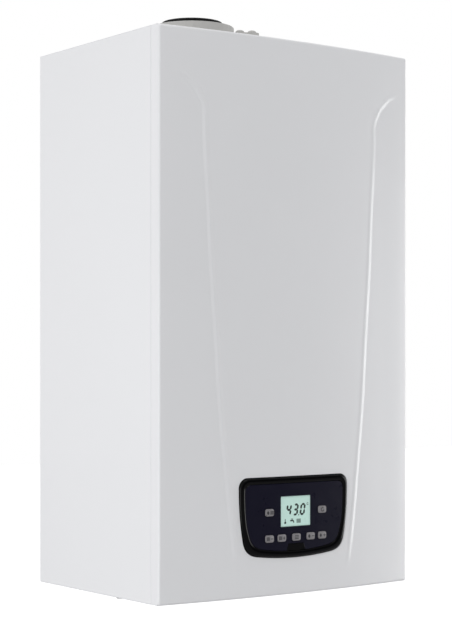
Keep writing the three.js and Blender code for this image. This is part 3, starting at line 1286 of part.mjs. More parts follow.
/** A button about its own middle: the cap, the flange behind the panel and the stem. */
function button(x) {
  const step = bowAt(Math.abs(x) + BUTTON_WIDTH / 2 + BUTTON_LIP, PANEL_BACK) + FIT;
  const face = bowAt(x, PANEL_FACE + BUTTON_PROUD);
  const cap = prism('front', roundedRect(BUTTON_WIDTH, BUTTON_HEIGHT, BUTTON_CORNER), face, step + OVERLAP);
  const [width, height] = [BUTTON_WIDTH + 2 * BUTTON_LIP, BUTTON_HEIGHT + 2 * BUTTON_LIP];
  const wide = roundedRect(width, height, BUTTON_CORNER);
  const flange = prism('front', wide, step, step + BUTTON_FLANGE);
  const stem = bar('y', BUTTON_STEM, step, SWITCH_FRONT - BUTTON_TRAVEL - FIT, [0, 0], SMALL);
  return joined([cap, flange, stem]);
}

function controlBoard() {
  const middle = (FASCIA_TOP + FASCIA_BOTTOM) / 2;
  let solid = block(
    [-BOARD_WIDTH / 2, BOARD_FRONT, middle - BOARD_HEIGHT / 2],
    [BOARD_WIDTH / 2, BOARD_FRONT + BOARD_THICKNESS, middle + BOARD_HEIGHT / 2],
  );
  const half = SWITCH_SIZE / 2;
  for (const [, x, z] of BUTTONS) {
    solid = solid.add(block([x - half, SWITCH_FRONT, z - half], [x + half, BOARD_FRONT + 1, z + half]));
  }
  return solid;
}

// ---- Assembly ----------------------------------------------------------------------------------

/** A group of pieces, from rows of name, solid and finish. */
function assembly(rows) {
  const group = new THREE.Group();
  for (const [name, solid, finish] of rows) addPiece(group, name, solid, finish);
  return group;
}

const casing = assembly([
  ['wall_bracket', wallBracket(), 'galvanised'],
  ['rear_frame', rearFrame(), 'galvanised'],
  ['left_side_panel', sidePanel(-1), 'white'],
  ['right_side_panel', sidePanel(1), 'white'],
  ['top_panel', topPanel(), 'white'],
  ['bottom_tray', bottomTray(), 'galvanised'],
]);

const cover = assembly([
  ['front_cover', frontCover(), 'white'],
  ['cover_screw_left', coverScrew(-1), 'steel'],
  ['cover_screw_right', coverScrew(1), 'steel'],
]);

const flue = assembly([
  ['flue_adapter', flueAdapter(), 'flueGrey'],
  ['flue_duct', flueDuct(), 'flueGrey'],
  ['flue_lip_seal', flueSeal(), 'blackRubber'],
  ['sampling_cap_inner', samplingCap(CAP_PLACES[0]), 'flueGrey'],
  ['sampling_cap_outer', samplingCap(CAP_PLACES[1]), 'flueGrey'],
]);

const burnerSide = assembly([
  ['heat_exchanger_shell', exchangerShell(), 'steel'],
  ['heat_exchanger_coil', exchangerCoil(), 'steel'],
  ['burner_door', burnerDoor(), 'aluminium'],
  ['burner', burner(), 'steel'],
  ['ignition_electrode', ignitionElectrode(), 'ceramic'],
  ['premix_duct', premixDuct(), 'aluminium'],
  ['fan_housing', fanHousing(), 'aluminium'],
  ['fan_motor', fanMotor(), 'blackPlastic'],
  ['fan_impeller', fanImpeller(), 'blackPlastic'],
  ['gas_mixer', gasMixer(), 'aluminium'],
  ['air_intake_pipe', airPipe(), 'blackPlastic'],
  ['gas_valve', gasValve(), 'aluminium'],
  ['gas_supply_pipe', gasSupplyPipe(), 'copper'],
]);

const waterSide = assembly([
  ['flow_manifold', flowManifold(), 'brass'],
  ['return_manifold', manifold(1), 'brass'],
  ['diverter_stem', diverterStem(), 'steel'],
  ['diverter_actuator', diverterActuator(), 'blackPlastic'],
  ['plate_exchanger', plateExchanger(), 'steel'],
  ['pump_housing', pumpHousing(), 'greyPlastic'],
  ['pump_motor', pumpMotor(), 'blackPlastic'],
  ['pump_impeller', pumpImpeller(), 'blackPlastic'],
  ['air_vent', airVent(), 'brass'],
  ['flow_pipe', flowPipe(), 'copper'],
  ['return_pipe', returnPipe(), 'copper'],
  ['expansion_vessel', expansionVessel(), 'redPaint'],
  ['expansion_hose', expansionHose(), 'blackRubber'],
  ['condensate_trap', condensateTrap(), 'greyPlastic'],
  ['condensate_hose', condensateHose(), 'greyPlastic'],
  ['safety_valve', safetyValve(), 'brass'],
  ['safety_valve_knob', safetyKnob(), 'redPaint'],
  ['filling_tap_knob', fillingTap(), 'blueKnob'],
]);

const control = assembly([
  ['control_housing', controlHousing(), 'blackPlastic'],
  ['control_rear_cover', controlRearCover(), 'blackPlastic'],
  ['control_board', controlBoard(), 'greenBoard'],
  ['fascia_frame', fasciaFrame(), 'glossBlack'],
  ['fascia_panel', fasciaPanel(), 'navy'],
  ['sensor_window', sensorWindow(), 'glossBlack'],
  ['lcd_display', lcdDisplay(), 'mint'],
]);
for (const [name, x, z] of BUTTONS) {
  addPiece(control, name, button(x), 'button').position.set(x, 0, z);
}

const boiler = new THREE.Group();
boiler.add(casing, cover, flue, burnerSide, waterSide, control);
boiler.position.z = -HANG_Z;

export default boiler;
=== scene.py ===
"""A wall-hung combi boiler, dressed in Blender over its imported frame.

Every class below is one sub-assembly. Its fields are sizes in metres, measured in the frame's own
coordinates: x to the right, y into the wall, z up, with y = 0 on the wall.
"""

import json
import logging
import math
from dataclasses import dataclass, field
from enum import Enum
from typing import Callable, ClassVar, Sequence

import bpy
from mathutils import Matrix, Vector

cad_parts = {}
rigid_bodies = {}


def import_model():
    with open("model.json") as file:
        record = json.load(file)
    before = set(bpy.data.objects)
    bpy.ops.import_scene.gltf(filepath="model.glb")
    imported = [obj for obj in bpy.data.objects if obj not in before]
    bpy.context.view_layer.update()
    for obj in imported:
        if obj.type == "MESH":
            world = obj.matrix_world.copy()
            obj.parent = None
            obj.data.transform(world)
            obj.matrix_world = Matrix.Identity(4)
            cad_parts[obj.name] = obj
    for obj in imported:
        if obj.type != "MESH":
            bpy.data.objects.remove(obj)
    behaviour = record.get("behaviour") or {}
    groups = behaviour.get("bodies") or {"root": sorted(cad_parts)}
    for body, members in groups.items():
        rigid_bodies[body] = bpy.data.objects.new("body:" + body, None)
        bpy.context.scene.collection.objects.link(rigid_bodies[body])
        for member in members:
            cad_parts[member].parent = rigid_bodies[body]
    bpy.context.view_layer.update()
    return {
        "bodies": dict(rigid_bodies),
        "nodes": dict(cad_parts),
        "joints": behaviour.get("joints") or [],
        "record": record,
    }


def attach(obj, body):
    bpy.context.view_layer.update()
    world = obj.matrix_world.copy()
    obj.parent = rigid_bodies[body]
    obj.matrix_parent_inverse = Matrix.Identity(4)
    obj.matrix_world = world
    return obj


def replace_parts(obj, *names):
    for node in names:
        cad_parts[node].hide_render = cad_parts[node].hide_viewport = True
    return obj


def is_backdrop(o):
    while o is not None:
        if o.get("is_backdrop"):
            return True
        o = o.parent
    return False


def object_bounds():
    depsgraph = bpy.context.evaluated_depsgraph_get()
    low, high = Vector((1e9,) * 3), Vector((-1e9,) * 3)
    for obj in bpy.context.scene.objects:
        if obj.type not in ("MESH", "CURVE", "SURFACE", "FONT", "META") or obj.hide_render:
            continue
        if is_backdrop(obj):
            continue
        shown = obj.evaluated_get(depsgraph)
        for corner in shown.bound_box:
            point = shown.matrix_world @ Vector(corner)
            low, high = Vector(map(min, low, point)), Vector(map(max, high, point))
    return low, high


LOG = logging.getLogger("boiler")
Point = tuple[float, float, float]
Pair = tuple[float, float]
Colour = tuple[float, float, float]


class Body(Enum):
    """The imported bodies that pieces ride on."""

    CASING = "casing"
    COVER = "cover"
    CONTROL_BOX = "control_box"
    CAP_INNER = "sampling_cap_inner"
    CAP_OUTER = "sampling_cap_outer"
    MODE = "button_mode"
    RESET = "button_reset"
    HEATING_DOWN = "button_heating_down"
    HEATING_UP = "button_heating_up"
    MENU = "button_menu"
    WATER_DOWN = "button_water_down"
    WATER_UP = "button_water_up"


class Axis(Enum):
    """The direction that a drum's axis runs in, as the turn given to an upright drum."""

    Y = (math.pi / 2, 0.0, 0.0)
    Z = (0.0, 0.0, 0.0)


class Part(Enum):
    """The parts of a mesh that are selected in edit mode."""

    EDGE = "EDGE"
    FACE = "FACE"


# ---- Shared surface effects ----------------------------------------------------------------------


class Graph:
    """A node tree with short ways to add and link nodes."""

    def __init__(self, tree: bpy.types.NodeTree) -> None:
        """Keep the tree.

        Args:
            tree: The node tree that nodes are added to.
        """
        self.tree = tree

    def add(self, kind: str, **settings: object) -> bpy.types.Node:
        """Add a node.

        Args:
            kind: The node's type name.
            **settings: Properties of the node itself.

        Returns:
            The new node.
        """
        node = self.tree.nodes.new(kind)
        for name, value in settings.items():
            setattr(node, name, value)
        return node

    def link(self, source: bpy.types.NodeSocket, target: bpy.types.NodeSocket) -> None:
        """Join an output to an input."""
        self.tree.links.new(source, target)

    def feed(self, value: object, target: bpy.types.NodeSocket) -> None:
        """Give an input an output to read, or a fixed value.

        Args:
            value: A socket or a fixed value.
            target: The input.
        """
        if isinstance(value, bpy.types.NodeSocket):
            self.link(value, target)
        else:
            target.default_value = value

    def math(self, operation: str, first: object, second: object) -> bpy.types.NodeSocket:
        """Add a Math node.

        Args:
            operation: The node's operation.
            first: A socket or a number.
            second: A socket or a number.

        Returns:
            The node's output.
        """
        node = self.add("ShaderNodeMath", operation=operation)
        for socket, value in zip(node.inputs, (first, second)):
            self.feed(value, socket)
        return node.outputs[0]

    def noise(
        self, scale: object, detail: float, place: bpy.types.NodeSocket | None = None
    ) -> bpy.types.NodeSocket:
        """Add a noise pattern.

        Args:
            scale: Features per metre, a socket or a number.
            detail: How many finer layers the noise has.
            place: The coordinates that it reads, or those of the object if None.

        Returns:
            The noise's value, about 0.5 on average.
        """
        if place is None:
            place = self.add("ShaderNodeTexCoord").outputs["Object"]
        node = self.add("ShaderNodeTexNoise")
        node.inputs["Detail"].default_value = detail
        self.feed(scale, node.inputs["Scale"])
        self.link(place, node.inputs["Vector"])
        return node.outputs["Fac"]

    def spread(
        self, value: bpy.types.NodeSocket, to: Pair, start: Pair = (0.3, 0.7)
    ) -> bpy.types.NodeSocket:
        """Map a pattern onto a range.

        Args:
            value: The pattern.
            to: The range that it comes to fill.
            start: The range of the pattern that fills it.

        Returns:
            The mapped value.
        """
        node = self.add("ShaderNodeMapRange")
        for name, number in zip(("From Min", "From Max", "To Min", "To Max"), (*start, *to)):
            node.inputs[name].default_value = number
        self.link(value, node.inputs["Value"])
        return node.outputs["Result"]


class Effect(Enum):
    """The surface effects that several finishes share, each a node group."""

    PEEL = "peel_and_speckle"
    LINES = "drawn_lines"
    TONE = "uneven_tone"
    DUST = "settled_dust"


class Socket(Enum):
    """The kinds of socket on those groups."""

    NUMBER = "NodeSocketFloat"
    VECTOR = "NodeSocketVector"
    COLOUR = "NodeSocketColor"


class Effects:
    """Builds each shared effect once."""

    def __init__(self) -> None:
        """Make the four groups."""
        self.groups: dict[Effect, bpy.types.NodeTree] = {
            Effect.PEEL: self._peel(),
            Effect.LINES: self._lines(),
            Effect.TONE: self._tone(),
            Effect.DUST: self._dust(),
        }

    @staticmethod
    def _group(
        effect: Effect, inputs: dict[str, tuple[Socket, object]], output: tuple[str, Socket]
    ) -> tuple[Graph, bpy.types.Node, bpy.types.Node]:
        """Start a group with named sockets.

        Args:
            effect: The effect, which names the group.
            inputs: Each input's kind and default.
            output: The output's name and kind.

        Returns:
            The group's graph, its input node and its output node.
        """
        tree = bpy.data.node_groups.new(effect.value, "ShaderNodeTree")
        for name, (kind, default) in inputs.items():
            socket = tree.interface.new_socket(name=name, in_out="INPUT", socket_type=kind.value)
            socket.default_value = default
        tree.interface.new_socket(name=output[0], in_out="OUTPUT", socket_type=output[1].value)
        graph = Graph(tree)
        return graph, graph.add("NodeGroupInput"), graph.add("NodeGroupOutput")

    def _peel(self) -> bpy.types.NodeTree:
        """The fine waviness of a sprayed or moulded skin, as a height.

        Returns:
            The group, which adds a finer and fainter noise to a coarse one.
        """
        inputs = {"Scale": (Socket.NUMBER, 400.0)}
        graph, given, put = self._group(Effect.PEEL, inputs, ("Height", Socket.NUMBER))
        layers = []
        for detail, finer, strength in ((3.0, 1.0, 1.0), (1.0, 4.0, 0.25)):
            scale = graph.math("MULTIPLY", given.outputs["Scale"], finer)
            layers.append(graph.math("MULTIPLY", graph.noise(scale, detail), strength))
        graph.link(graph.math("ADD", *layers), put.inputs["Height"])
        return graph.tree

    def _lines(self) -> bpy.types.NodeTree:
        """Fine lines drawn along one direction, as a value about 0.5.

        Returns:
            The group, whose stretch is small along the lines.
        """
        inputs = {"Scale": (Socket.NUMBER, 900.0), "Stretch": (Socket.VECTOR, (1.0, 1.0, 0.03))}
        graph, given, put = self._group(Effect.LINES, inputs, ("Value", Socket.NUMBER))
        mapping = graph.add("ShaderNodeMapping")
        graph.link(graph.add("ShaderNodeTexCoord").outputs["Object"], mapping.inputs["Vector"])
        graph.link(given.outputs["Stretch"], mapping.inputs["Scale"])
        value = graph.noise(given.outputs["Scale"], 4.0, mapping.outputs["Vector"])
        graph.link(value, put.inputs["Value"])
        return graph.tree

    def _tone(self) -> bpy.types.NodeTree:
        """A colour that drifts slightly over the surface.

        Returns:
            The group, whose drift is how far the brightness swings.
        """
        inputs = {
            "Color": (Socket.COLOUR, (0.8, 0.8, 0.8, 1.0)),
            "Scale": (Socket.NUMBER, 6.0),
            "Drift": (Socket.NUMBER, 0.04),
        }
        graph, given, put = self._group(Effect.TONE, inputs, ("Color", Socket.COLOUR))
        shift = graph.add("ShaderNodeHueSaturation")
        centred = graph.math("SUBTRACT", graph.noise(given.outputs["Scale"], 5.0), 0.5)
        drift = graph.math("MULTIPLY", centred, given.outputs["Drift"])
        graph.link(given.outputs["Color"], shift.inputs["Color"])
        graph.link(graph.math("ADD", drift, 1.0), shift.inputs["Value"])
        graph.link(shift.outputs["Color"], put.inputs["Color"])
        return graph.tree

    def _dust(self) -> bpy.types.NodeTree:
        """A mask of what settles, in patches, on faces that look up.

        Returns:
            The group, whose amount is the mask's strength on a level face.
        """
        inputs = {"Amount": (Socket.NUMBER, 0.3)}
        graph, given, put = self._group(Effect.DUST, inputs, ("Mask", Socket.NUMBER))
        split = graph.add("ShaderNodeSeparateXYZ")
        graph.link(graph.add("ShaderNodeNewGeometry").outputs["Normal"], split.inputs["Vector"])
        upward = graph.spread(split.outputs["Z"], (0.0, 1.0), (0.6, 1.0))
        patches = graph.spread(graph.noise(60.0, 6.0), (0.2, 1.0))
        mask = graph.math("MULTIPLY", upward, patches)
        graph.link(graph.math("MULTIPLY", mask, given.outputs["Amount"]), put.inputs["Mask"])
        return graph.tree


# ---- Finishes ------------------------------------------------------------------------------------


@dataclass(frozen=True)
class Finish:
    """A surface: its base colour, its gloss and the fine structure of its skin.

    The fields with an `_scale` are features per metre; `relief` is the bump's height in metres.
    """

    COAT_ROUGHNESS: ClassVar[float] = 0.06
    GLOSS_PATCHES: ClassVar[float] = 9.0
    GLOSS_DETAIL: ClassVar[float] = 6.0
    STREAK: ClassVar[float] = 0.08
    DUST_ROUGHNESS: ClassVar[float] = 0.4

    name: str
    colour: Colour
    roughness: float = 0.4
    roughness_spread: float = 0.06
    metallic: float = 0.0
    tone_drift: float = 0.04
    tone_scale: float = 6.0
    peel_scale: float = 500.0
    relief: float = 0.00002
    line_scale: float = 0.0
    line_stretch: Point = (1.0, 1.0, 0.03)
    line_depth: float = 0.0
    dust: float = 0.0
    dust_colour: Colour = (0.55, 0.53, 0.50)
    coat: float = 0.0
    specular: float = 0.5
    glow: float = 0.0

    def material(self, effects: Effects) -> bpy.types.Material:
        """Build the finish as a node material.

        Args:
            effects: The shared node groups.

        Returns:
            The material.
        """
        material = bpy.data.materials.new(self.name)
        material.use_nodes = True
        graph = Graph(material.node_tree)
        shader = material.node_tree.nodes["Principled BSDF"]
        shader.inputs["Metallic"].default_value = self.metallic
        shader.inputs["Specular IOR Level"].default_value = self.specular
        shader.inputs["Coat Weight"].default_value = self.coat
        shader.inputs["Coat Roughness"].default_value = self.COAT_ROUGHNESS
        values = {
            "Color": (*self.colour, 1.0), "Scale": self.tone_scale, "Drift": self.tone_drift,
        }
        colour = self._effect(graph, effects, Effect.TONE, values)
        patches = graph.noise(self.tone_scale * self.GLOSS_PATCHES, self.GLOSS_DETAIL)
        span = self.roughness_spread
        rough = graph.spread(patches, (self.roughness - span, self.roughness + span))
        height = self._effect(graph, effects, Effect.PEEL, {"Scale": self.peel_scale})
        if self.line_scale:
            values = {"Scale": self.line_scale, "Stretch": self.line_stretch}
            lines = self._effect(graph, effects, Effect.LINES, values)
            height = graph.math("ADD", graph.math("MULTIPLY", lines, self.line_depth), height)
            rough = graph.math("ADD", rough, graph.spread(lines, (-self.STREAK, self.STREAK)))
        if self.dust:
            settled = self._effect(graph, effects, Effect.DUST, {"Amount": self.dust})
            mix = graph.add("ShaderNodeMix", data_type="RGBA")
            mix.inputs["B"].default_value = (*self.dust_colour, 1.0)
            graph.link(settled, mix.inputs["Factor"])
            graph.link(colour, mix.inputs["A"])
            colour = mix.outputs["Result"]
            dulled = graph.math("MULTIPLY", settled, self.DUST_ROUGHNESS)
            rough = graph.math("ADD", rough, dulled)
        bump = graph.add("ShaderNodeBump")
        bump.inputs["Distance"].default_value = self.relief
        graph.link(height, bump.inputs["Height"])
        graph.link(colour, shader.inputs["Base Color"])
        graph.link(rough, shader.inputs["Roughness"])
        graph.link(bump.outputs["Normal"], shader.inputs["Normal"])
        if self.glow:
            shader.inputs["Emission Strength"].default_value = self.glow
            graph.link(colour, shader.inputs["Emission Color"])
        material.diffuse_color = (*self.colour, 1.0)
        return material

    @staticmethod
    def _effect(
        graph: Graph, effects: Effects, effect: Effect, values: dict[str, object]
    ) -> bpy.types.NodeSocket:
        """Place a shared effect in a material.

        Args:
            graph: The material's graph.
            effects: The shared node groups.
            effect: The effect.
            values: What its inputs are set to.

        Returns:
            Its one output.
        """
        node = graph.add("ShaderNodeGroup", node_tree=effects.groups[effect])
        for name, value in values.items():
            node.inputs[name].default_value = value
        return node.outputs[0]


class Look(Enum):
    """Every finish on the boiler.

    All but SEGMENT, PRINT and ZINC have the name of one of the record's material slots.
    """

    WHITE_ENAMEL = Finish(
        "white_enamel", (0.795, 0.80, 0.82), 0.34, 0.03, tone_drift=0.02, peel_scale=420.0,
        relief=0.00003, coat=0.12,
    )
    GALVANISED = Finish(
        "galvanised_sheet", (0.60, 0.62, 0.63), 0.42, 0.10, 0.9, tone_drift=0.5, tone_scale=55.0,
        peel_scale=900.0, relief=0.00002, dust=0.12,
    )
    FLUE_GREY = Finish(
        "moulded_warm_grey", (0.485, 0.48, 0.465), 0.48, 0.06, tone_drift=0.03, peel_scale=1500.0,
        relief=0.00002, dust=0.08,
    )
    SEAL_BLACK = Finish(
        "seal_rubber", (0.018, 0.018, 0.019), 0.62, 0.08, tone_drift=0.2, peel_scale=1800.0,
        relief=0.00003, specular=0.35,
    )
    STAINLESS = Finish(
        "brushed_stainless", (0.56, 0.565, 0.57), 0.33, 0.05, 1.0, tone_drift=0.06,
        line_scale=900.0, line_stretch=(1.0, 0.04, 1.0), line_depth=0.3, relief=0.000006,
    )
    CAST_ALUMINIUM = Finish(
        "cast_aluminium", (0.50, 0.505, 0.51), 0.50, 0.08, 0.85, tone_drift=0.14, tone_scale=30.0,
        peel_scale=1300.0, relief=0.00012, dust=0.10,
    )
    BRASS = Finish(
        "machined_brass", (0.62, 0.44, 0.20), 0.30, 0.08, 1.0, tone_drift=0.16, tone_scale=40.0,
        peel_scale=1500.0, relief=0.00003,
    )
    COPPER = Finish(
        "drawn_copper", (0.70, 0.35, 0.22), 0.32, 0.06, 1.0, tone_drift=0.14, tone_scale=24.0,
        line_scale=700.0, line_stretch=(1.0, 1.0, 0.05), line_depth=0.2, relief=0.000006,
    )
    BLACK_PLASTIC = Finish(
        "moulded_black", (0.020, 0.020, 0.021), 0.45, 0.07, tone_drift=0.15, peel_scale=1700.0,
        relief=0.00004, dust=0.05,
    )
    GREY_PLASTIC = Finish(
        "moulded_grey", (0.22, 0.225, 0.23), 0.45, 0.06, tone_drift=0.05, peel_scale=1700.0,
        relief=0.00003, dust=0.05,
    )
    VESSEL_RED = Finish(
        "red_lacquer", (0.44, 0.028, 0.020), 0.34, 0.04, tone_drift=0.05, peel_scale=260.0,
        relief=0.00002, coat=0.15, dust=0.08,
    )
    KNOB_RED = Finish("knob_red", (0.52, 0.022, 0.020), 0.38, 0.05, peel_scale=1500.0)
    KNOB_BLUE = Finish("knob_blue", (0.020, 0.085, 0.36), 0.38, 0.05, peel_scale=1500.0)
    CERAMIC_WHITE = Finish(
        "fired_ceramic", (0.74, 0.72, 0.67), 0.40, 0.08, tone_drift=0.05, peel_scale=2200.0,
        relief=0.00003,
    )
    BOARD_GREEN = Finish(
        "circuit_board", (0.018, 0.13, 0.055), 0.30, 0.05, tone_drift=0.12, coat=0.2,
        line_scale=500.0, line_stretch=(1.0, 1.0, 0.12), line_depth=0.8, relief=0.00002,
    )
    FASCIA_BLACK = Finish(
        "gloss_black", (0.0018, 0.0018, 0.0022), 0.14, 0.03, tone_drift=0.1, peel_scale=260.0,
        relief=0.000008, coat=0.03, specular=0.10,
    )
    FASCIA_NAVY = Finish(
        "panel_navy", (0.0050, 0.0046, 0.0145), 0.30, 0.04, tone_drift=0.06, peel_scale=1900.0,
        relief=0.000012, specular=0.14,
    )
    DISPLAY_MINT = Finish(
        "lit_mint", (0.47, 0.655, 0.60), 0.30, 0.03, tone_drift=0.05, tone_scale=18.0,
        peel_scale=2400.0, relief=0.000004, glow=0.27,
    )
    SEGMENT = Finish(
        "lcd_segment", (0.010, 0.022, 0.019), 0.40, 0.03, tone_drift=0.10, peel_scale=2400.0,
        relief=0.000004,
    )
    BUTTON_GREY = Finish(
        "button_grey", (0.215, 0.205, 0.215), 0.42, 0.05, tone_drift=0.04, peel_scale=2000.0,
        relief=0.000015,
    )
    PRINT = Finish(
        "dark_print", (0.016, 0.016, 0.020), 0.45, 0.04, tone_drift=0.08, peel_scale=2400.0,
        relief=0.000004,
    )
    ZINC = Finish(
        "zinc_screw", (0.58, 0.585, 0.575), 0.30, 0.07, 1.0, tone_drift=0.10, tone_scale=60.0,
        peel_scale=1700.0, relief=0.00001,
    )

    @property
    def finish(self) -> Finish:
        """The finish itself."""
        return self.value

    @property
    def slot(self) -> str:
        """The name of the record's material slot for this look."""
        return self.name.lower()


class Palette:
    """Hands out each look's material, building it on first use."""

    def __init__(self) -> None:
        """Make the shared effects."""
        self.effects = Effects()
        self.made: dict[Look, bpy.types.Material] = {}

    def of(self, look: Look) -> bpy.types.Material:
        """Find or build the material of a look.

        Args:
            look: The look.

        Returns:
            Its material.
        """
        if look not in self.made:
            self.made[look] = look.finish.material(self.effects)
        return self.made[look]

    def dress(self, thing: bpy.types.Object, look: Look) -> None:
        """Put one look on every slot of an object.

        Args:
            thing: The object.
            look: The look.
        """
        if not thing.material_slots:
            thing.data.materials.append(self.of(look))
        for place in thing.material_slots:
            place.material = self.of(look)


# ---- Modelling -----------------------------------------------------------------------------------


class Shape:
    """A mesh being modelled with edit-mode operators, its place held in its own mesh."""

    def __init__(self, thing: bpy.types.Object, name: str) -> None:
        """Take over the object that an operator has just added.

        Args:
            thing: The new object.
            name: The piece's name.
        """
        self.thing = thing
        thing.name = name
        thing.data.name = name

    @classmethod
    def drum(
        cls, name: str, centre: Point, radius: float, length: float, axis: Axis, sides: int = 48
    ) -> "Shape":
        """Add a cylinder.

        Args:
            name: The piece's name.
            centre: Its middle.
            radius: Its radius.
            length: Its length.
            axis: The direction of its axis.
            sides: Its number of sides.

        Returns:
            The shape.
        """
        bpy.ops.object.select_all(action="DESELECT")
        bpy.ops.mesh.primitive_cylinder_add(
            vertices=sides, radius=radius, depth=length, location=centre, rotation=axis.value
        )
        shape = cls(bpy.context.object, name)
        shape.only()
        bpy.ops.object.transform_apply(location=True, rotation=True, scale=True)
        return shape

    def only(self) -> None:
        """Make this the one selected and active object."""
        bpy.ops.object.select_all(action="DESELECT")
        self.thing.select_set(True)
        bpy.context.view_layer.objects.active = self.thing

    def pick(self, part: Part, rule: Callable[[Vector], bool]) -> "Shape":
        """Select the faces or edges whose middle fits a rule.

        Args:
            part: Which of the two.
            rule: Says whether a middle point counts.

        Returns:
            The shape.
        """
        mesh = self.thing.data
        for group in (mesh.vertices, mesh.edges, mesh.polygons):
            group.foreach_set("select", [False] * len(group))
        if part is Part.FACE:
            for face in mesh.polygons:
                face.select = rule(face.center)
        else:
            for edge in mesh.edges:
                ends = [mesh.vertices[index].co for index in edge.vertices]
                edge.select = rule((ends[0] + ends[1]) / 2)
        return self

    def edit(self, part: Part, *steps: Callable[[], object]) -> "Shape":
        """Run operators in edit mode on what is picked.

        Args:
            part: What they select.
            *steps: The operators, in order.

        Returns:
            The shape.
        """
        self.only()
        bpy.ops.object.mode_set(mode="EDIT")
        bpy.ops.mesh.select_mode(type=part.value)
        for step in steps:
            step()
        bpy.ops.object.mode_set(mode="OBJECT")
        return self

    def face_out(self) -> "Shape":
        """Turn every face of a closed shape outwards.

        Returns:
            The shape.
        """
        return self.edit(
            Part.FACE,
            lambda: bpy.ops.mesh.select_all(action="SELECT"),
            lambda: bpy.ops.mesh.normals_make_consistent(inside=False),
        )

    def modify(self, kind: str, **settings: object) -> "Shape":
        """Add a modifier and apply it.

        Args:
            kind: The modifier's type.
            **settings: Its properties.

        Returns:
            The shape.
        """
        self.only()
        modifier = self.thing.modifiers.new(kind.lower(), kind)
        for name, value in settings.items():
            setattr(modifier, name, value)
        bpy.ops.object.modifier_apply(modifier=modifier.name)
        return self

    def soften(self, width: float, segments: int, angle: float) -> "Shape":
        """Round every edge sharper than an angle.

        Args:
            width: The rounding's width.
            segments: Its number of steps.
            angle: The least angle in degrees.

        Returns:
            The shape.
        """
        least = math.radians(angle)
        return self.modify(
            "BEVEL", width=width, segments=segments, limit_method="ANGLE", angle_limit=least
        )

    def cut(self, other: "Shape") -> "Shape":
        """Cut another shape out of this one and use it up.

        Args:
            other: The tool.

        Returns:
            The shape.
        """
        self.modify("BOOLEAN", operation="DIFFERENCE", object=other.thing, solver="EXACT")
        bpy.data.objects.remove(other.thing, do_unlink=True)
        return self

    def smooth(self, angle: float) -> "Shape":
        """Shade smooth across edges that turn less than an angle.

        Args:
            angle: The angle in degrees.

        Returns:
            The shape.
        """
        self.only()
        bpy.ops.object.shade_smooth_by_angle(angle=math.radians(angle))
        return self

    def copied(self, name: str, move: Point) -> "Shape":
        """Copy the shape with its own mesh.

        Args:
            name: The copy's name.
            move: How far the copy is moved.

        Returns:
            The copy.
        """
        thing = self.thing.copy()
        thing.data = self.thing.data.copy()
        thing.data.transform(Matrix.Translation(move))
        bpy.context.collection.objects.link(thing)
        return Shape(thing, name)

    def finished(
        self, palette: Palette, look: Look, body: Body, slot: Look | None = None
    ) -> bpy.types.Object:
        """Dress the shape, let it ride, report it and hand the object over.

        Args:
            palette: The materials.
            look: Its look.
            body: The body that it rides on.
            slot: Not used.

        Returns:
            The object.
        """
        palette.dress(self.thing, look)
        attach(self.thing, body.value)
        LOG.info("built %s", self.thing.name)
        return self.thing


def joined(name: str, shapes: Sequence[Shape]) -> Shape:
    """Join several shapes into one object without fusing them.

    Args:
        name: The new piece's name.
        shapes: The shapes, used up.

    Returns:
        The joined shape.
    """
    bpy.ops.object.select_all(action="DESELECT")
    for shape in shapes:
        shape.thing.select_set(True)
    bpy.context.view_layer.objects.active = shapes[0].thing
    bpy.ops.object.join()
    return Shape(bpy.context.object, name)


def plate(name: str, points: Sequence[Pair], front: float, back: float) -> Shape:
    """A flat plate with a given outline seen from the front.

    Args:
        name: The piece's name.
        points: The outline's corners as x and z.
        front: The y of its front.
        back: The y of its back.

    Returns:
        The shape.
    """
    bpy.ops.object.select_all(action="DESELECT")
    bpy.ops.mesh.primitive_circle_add(vertices=len(points), radius=1.0, fill_type="NGON")
    thing = bpy.context.object
    for vertex, (x, z) in zip(thing.data.vertices, points):
        vertex.co = (x, front, z)
    step = {"value": (0.0, back - front, 0.0)}
    shape = Shape(thing, name).pick(Part.FACE, lambda middle: True)
    shape.edit(
        Part.FACE, lambda: bpy.ops.mesh.extrude_region_move(TRANSFORM_OT_translate=step)
    )
    return shape.face_out()


def loft(name: str, rings: Sequence[Sequence[Point]]) -> Shape:
    """A skin over a row of closed rings that all have the same number of points.

    Args:
        name: The piece's name.
        rings: The rings in order; one drawn in to a point closes that end.

    Returns:
        The shape.
    """
    around, along = len(rings[0]), len(rings) - 1
    bpy.ops.object.select_all(action="DESELECT")
    bpy.ops.mesh.primitive_grid_add(x_subdivisions=around, y_subdivisions=along, size=2.0)
    shape = Shape(bpy.context.object, name)
    for vertex in shape.thing.data.vertices:
        column = round((vertex.co.x + 1.0) / 2.0 * around) % around
        vertex.co = rings[round((vertex.co.y + 1.0) / 2.0 * along)][column]
    shape.edit(
        Part.FACE,
        lambda: bpy.ops.mesh.select_all(action="SELECT"),
        lambda: bpy.ops.mesh.remove_doubles(threshold=1e-6),
    )
    return shape.face_out()


def rounded(
    width: float, height: float, corner: float, centre: Pair, steps: int = 6
) -> list[Pair]:
    """A rounded rectangle's outline.

    Args:
        width: Its width.
        height: Its height.
        corner: The corners' radius.
        centre: Its middle, as x and z.
        steps: The steps in each corner.

    Returns:
        The outline's corners.
    """
    points = []
    for quarter, (side, end) in enumerate(((1, 1), (-1, 1), (-1, -1), (1, -1))):
        for step in range(steps + 1):
            turn = math.pi / 2 * (quarter + step / steps)
            x = centre[0] + side * (width / 2 - corner) + corner * math.cos(turn)
            points.append((x, centre[1] + end * (height / 2 - corner) + corner * math.sin(turn)))
    return points


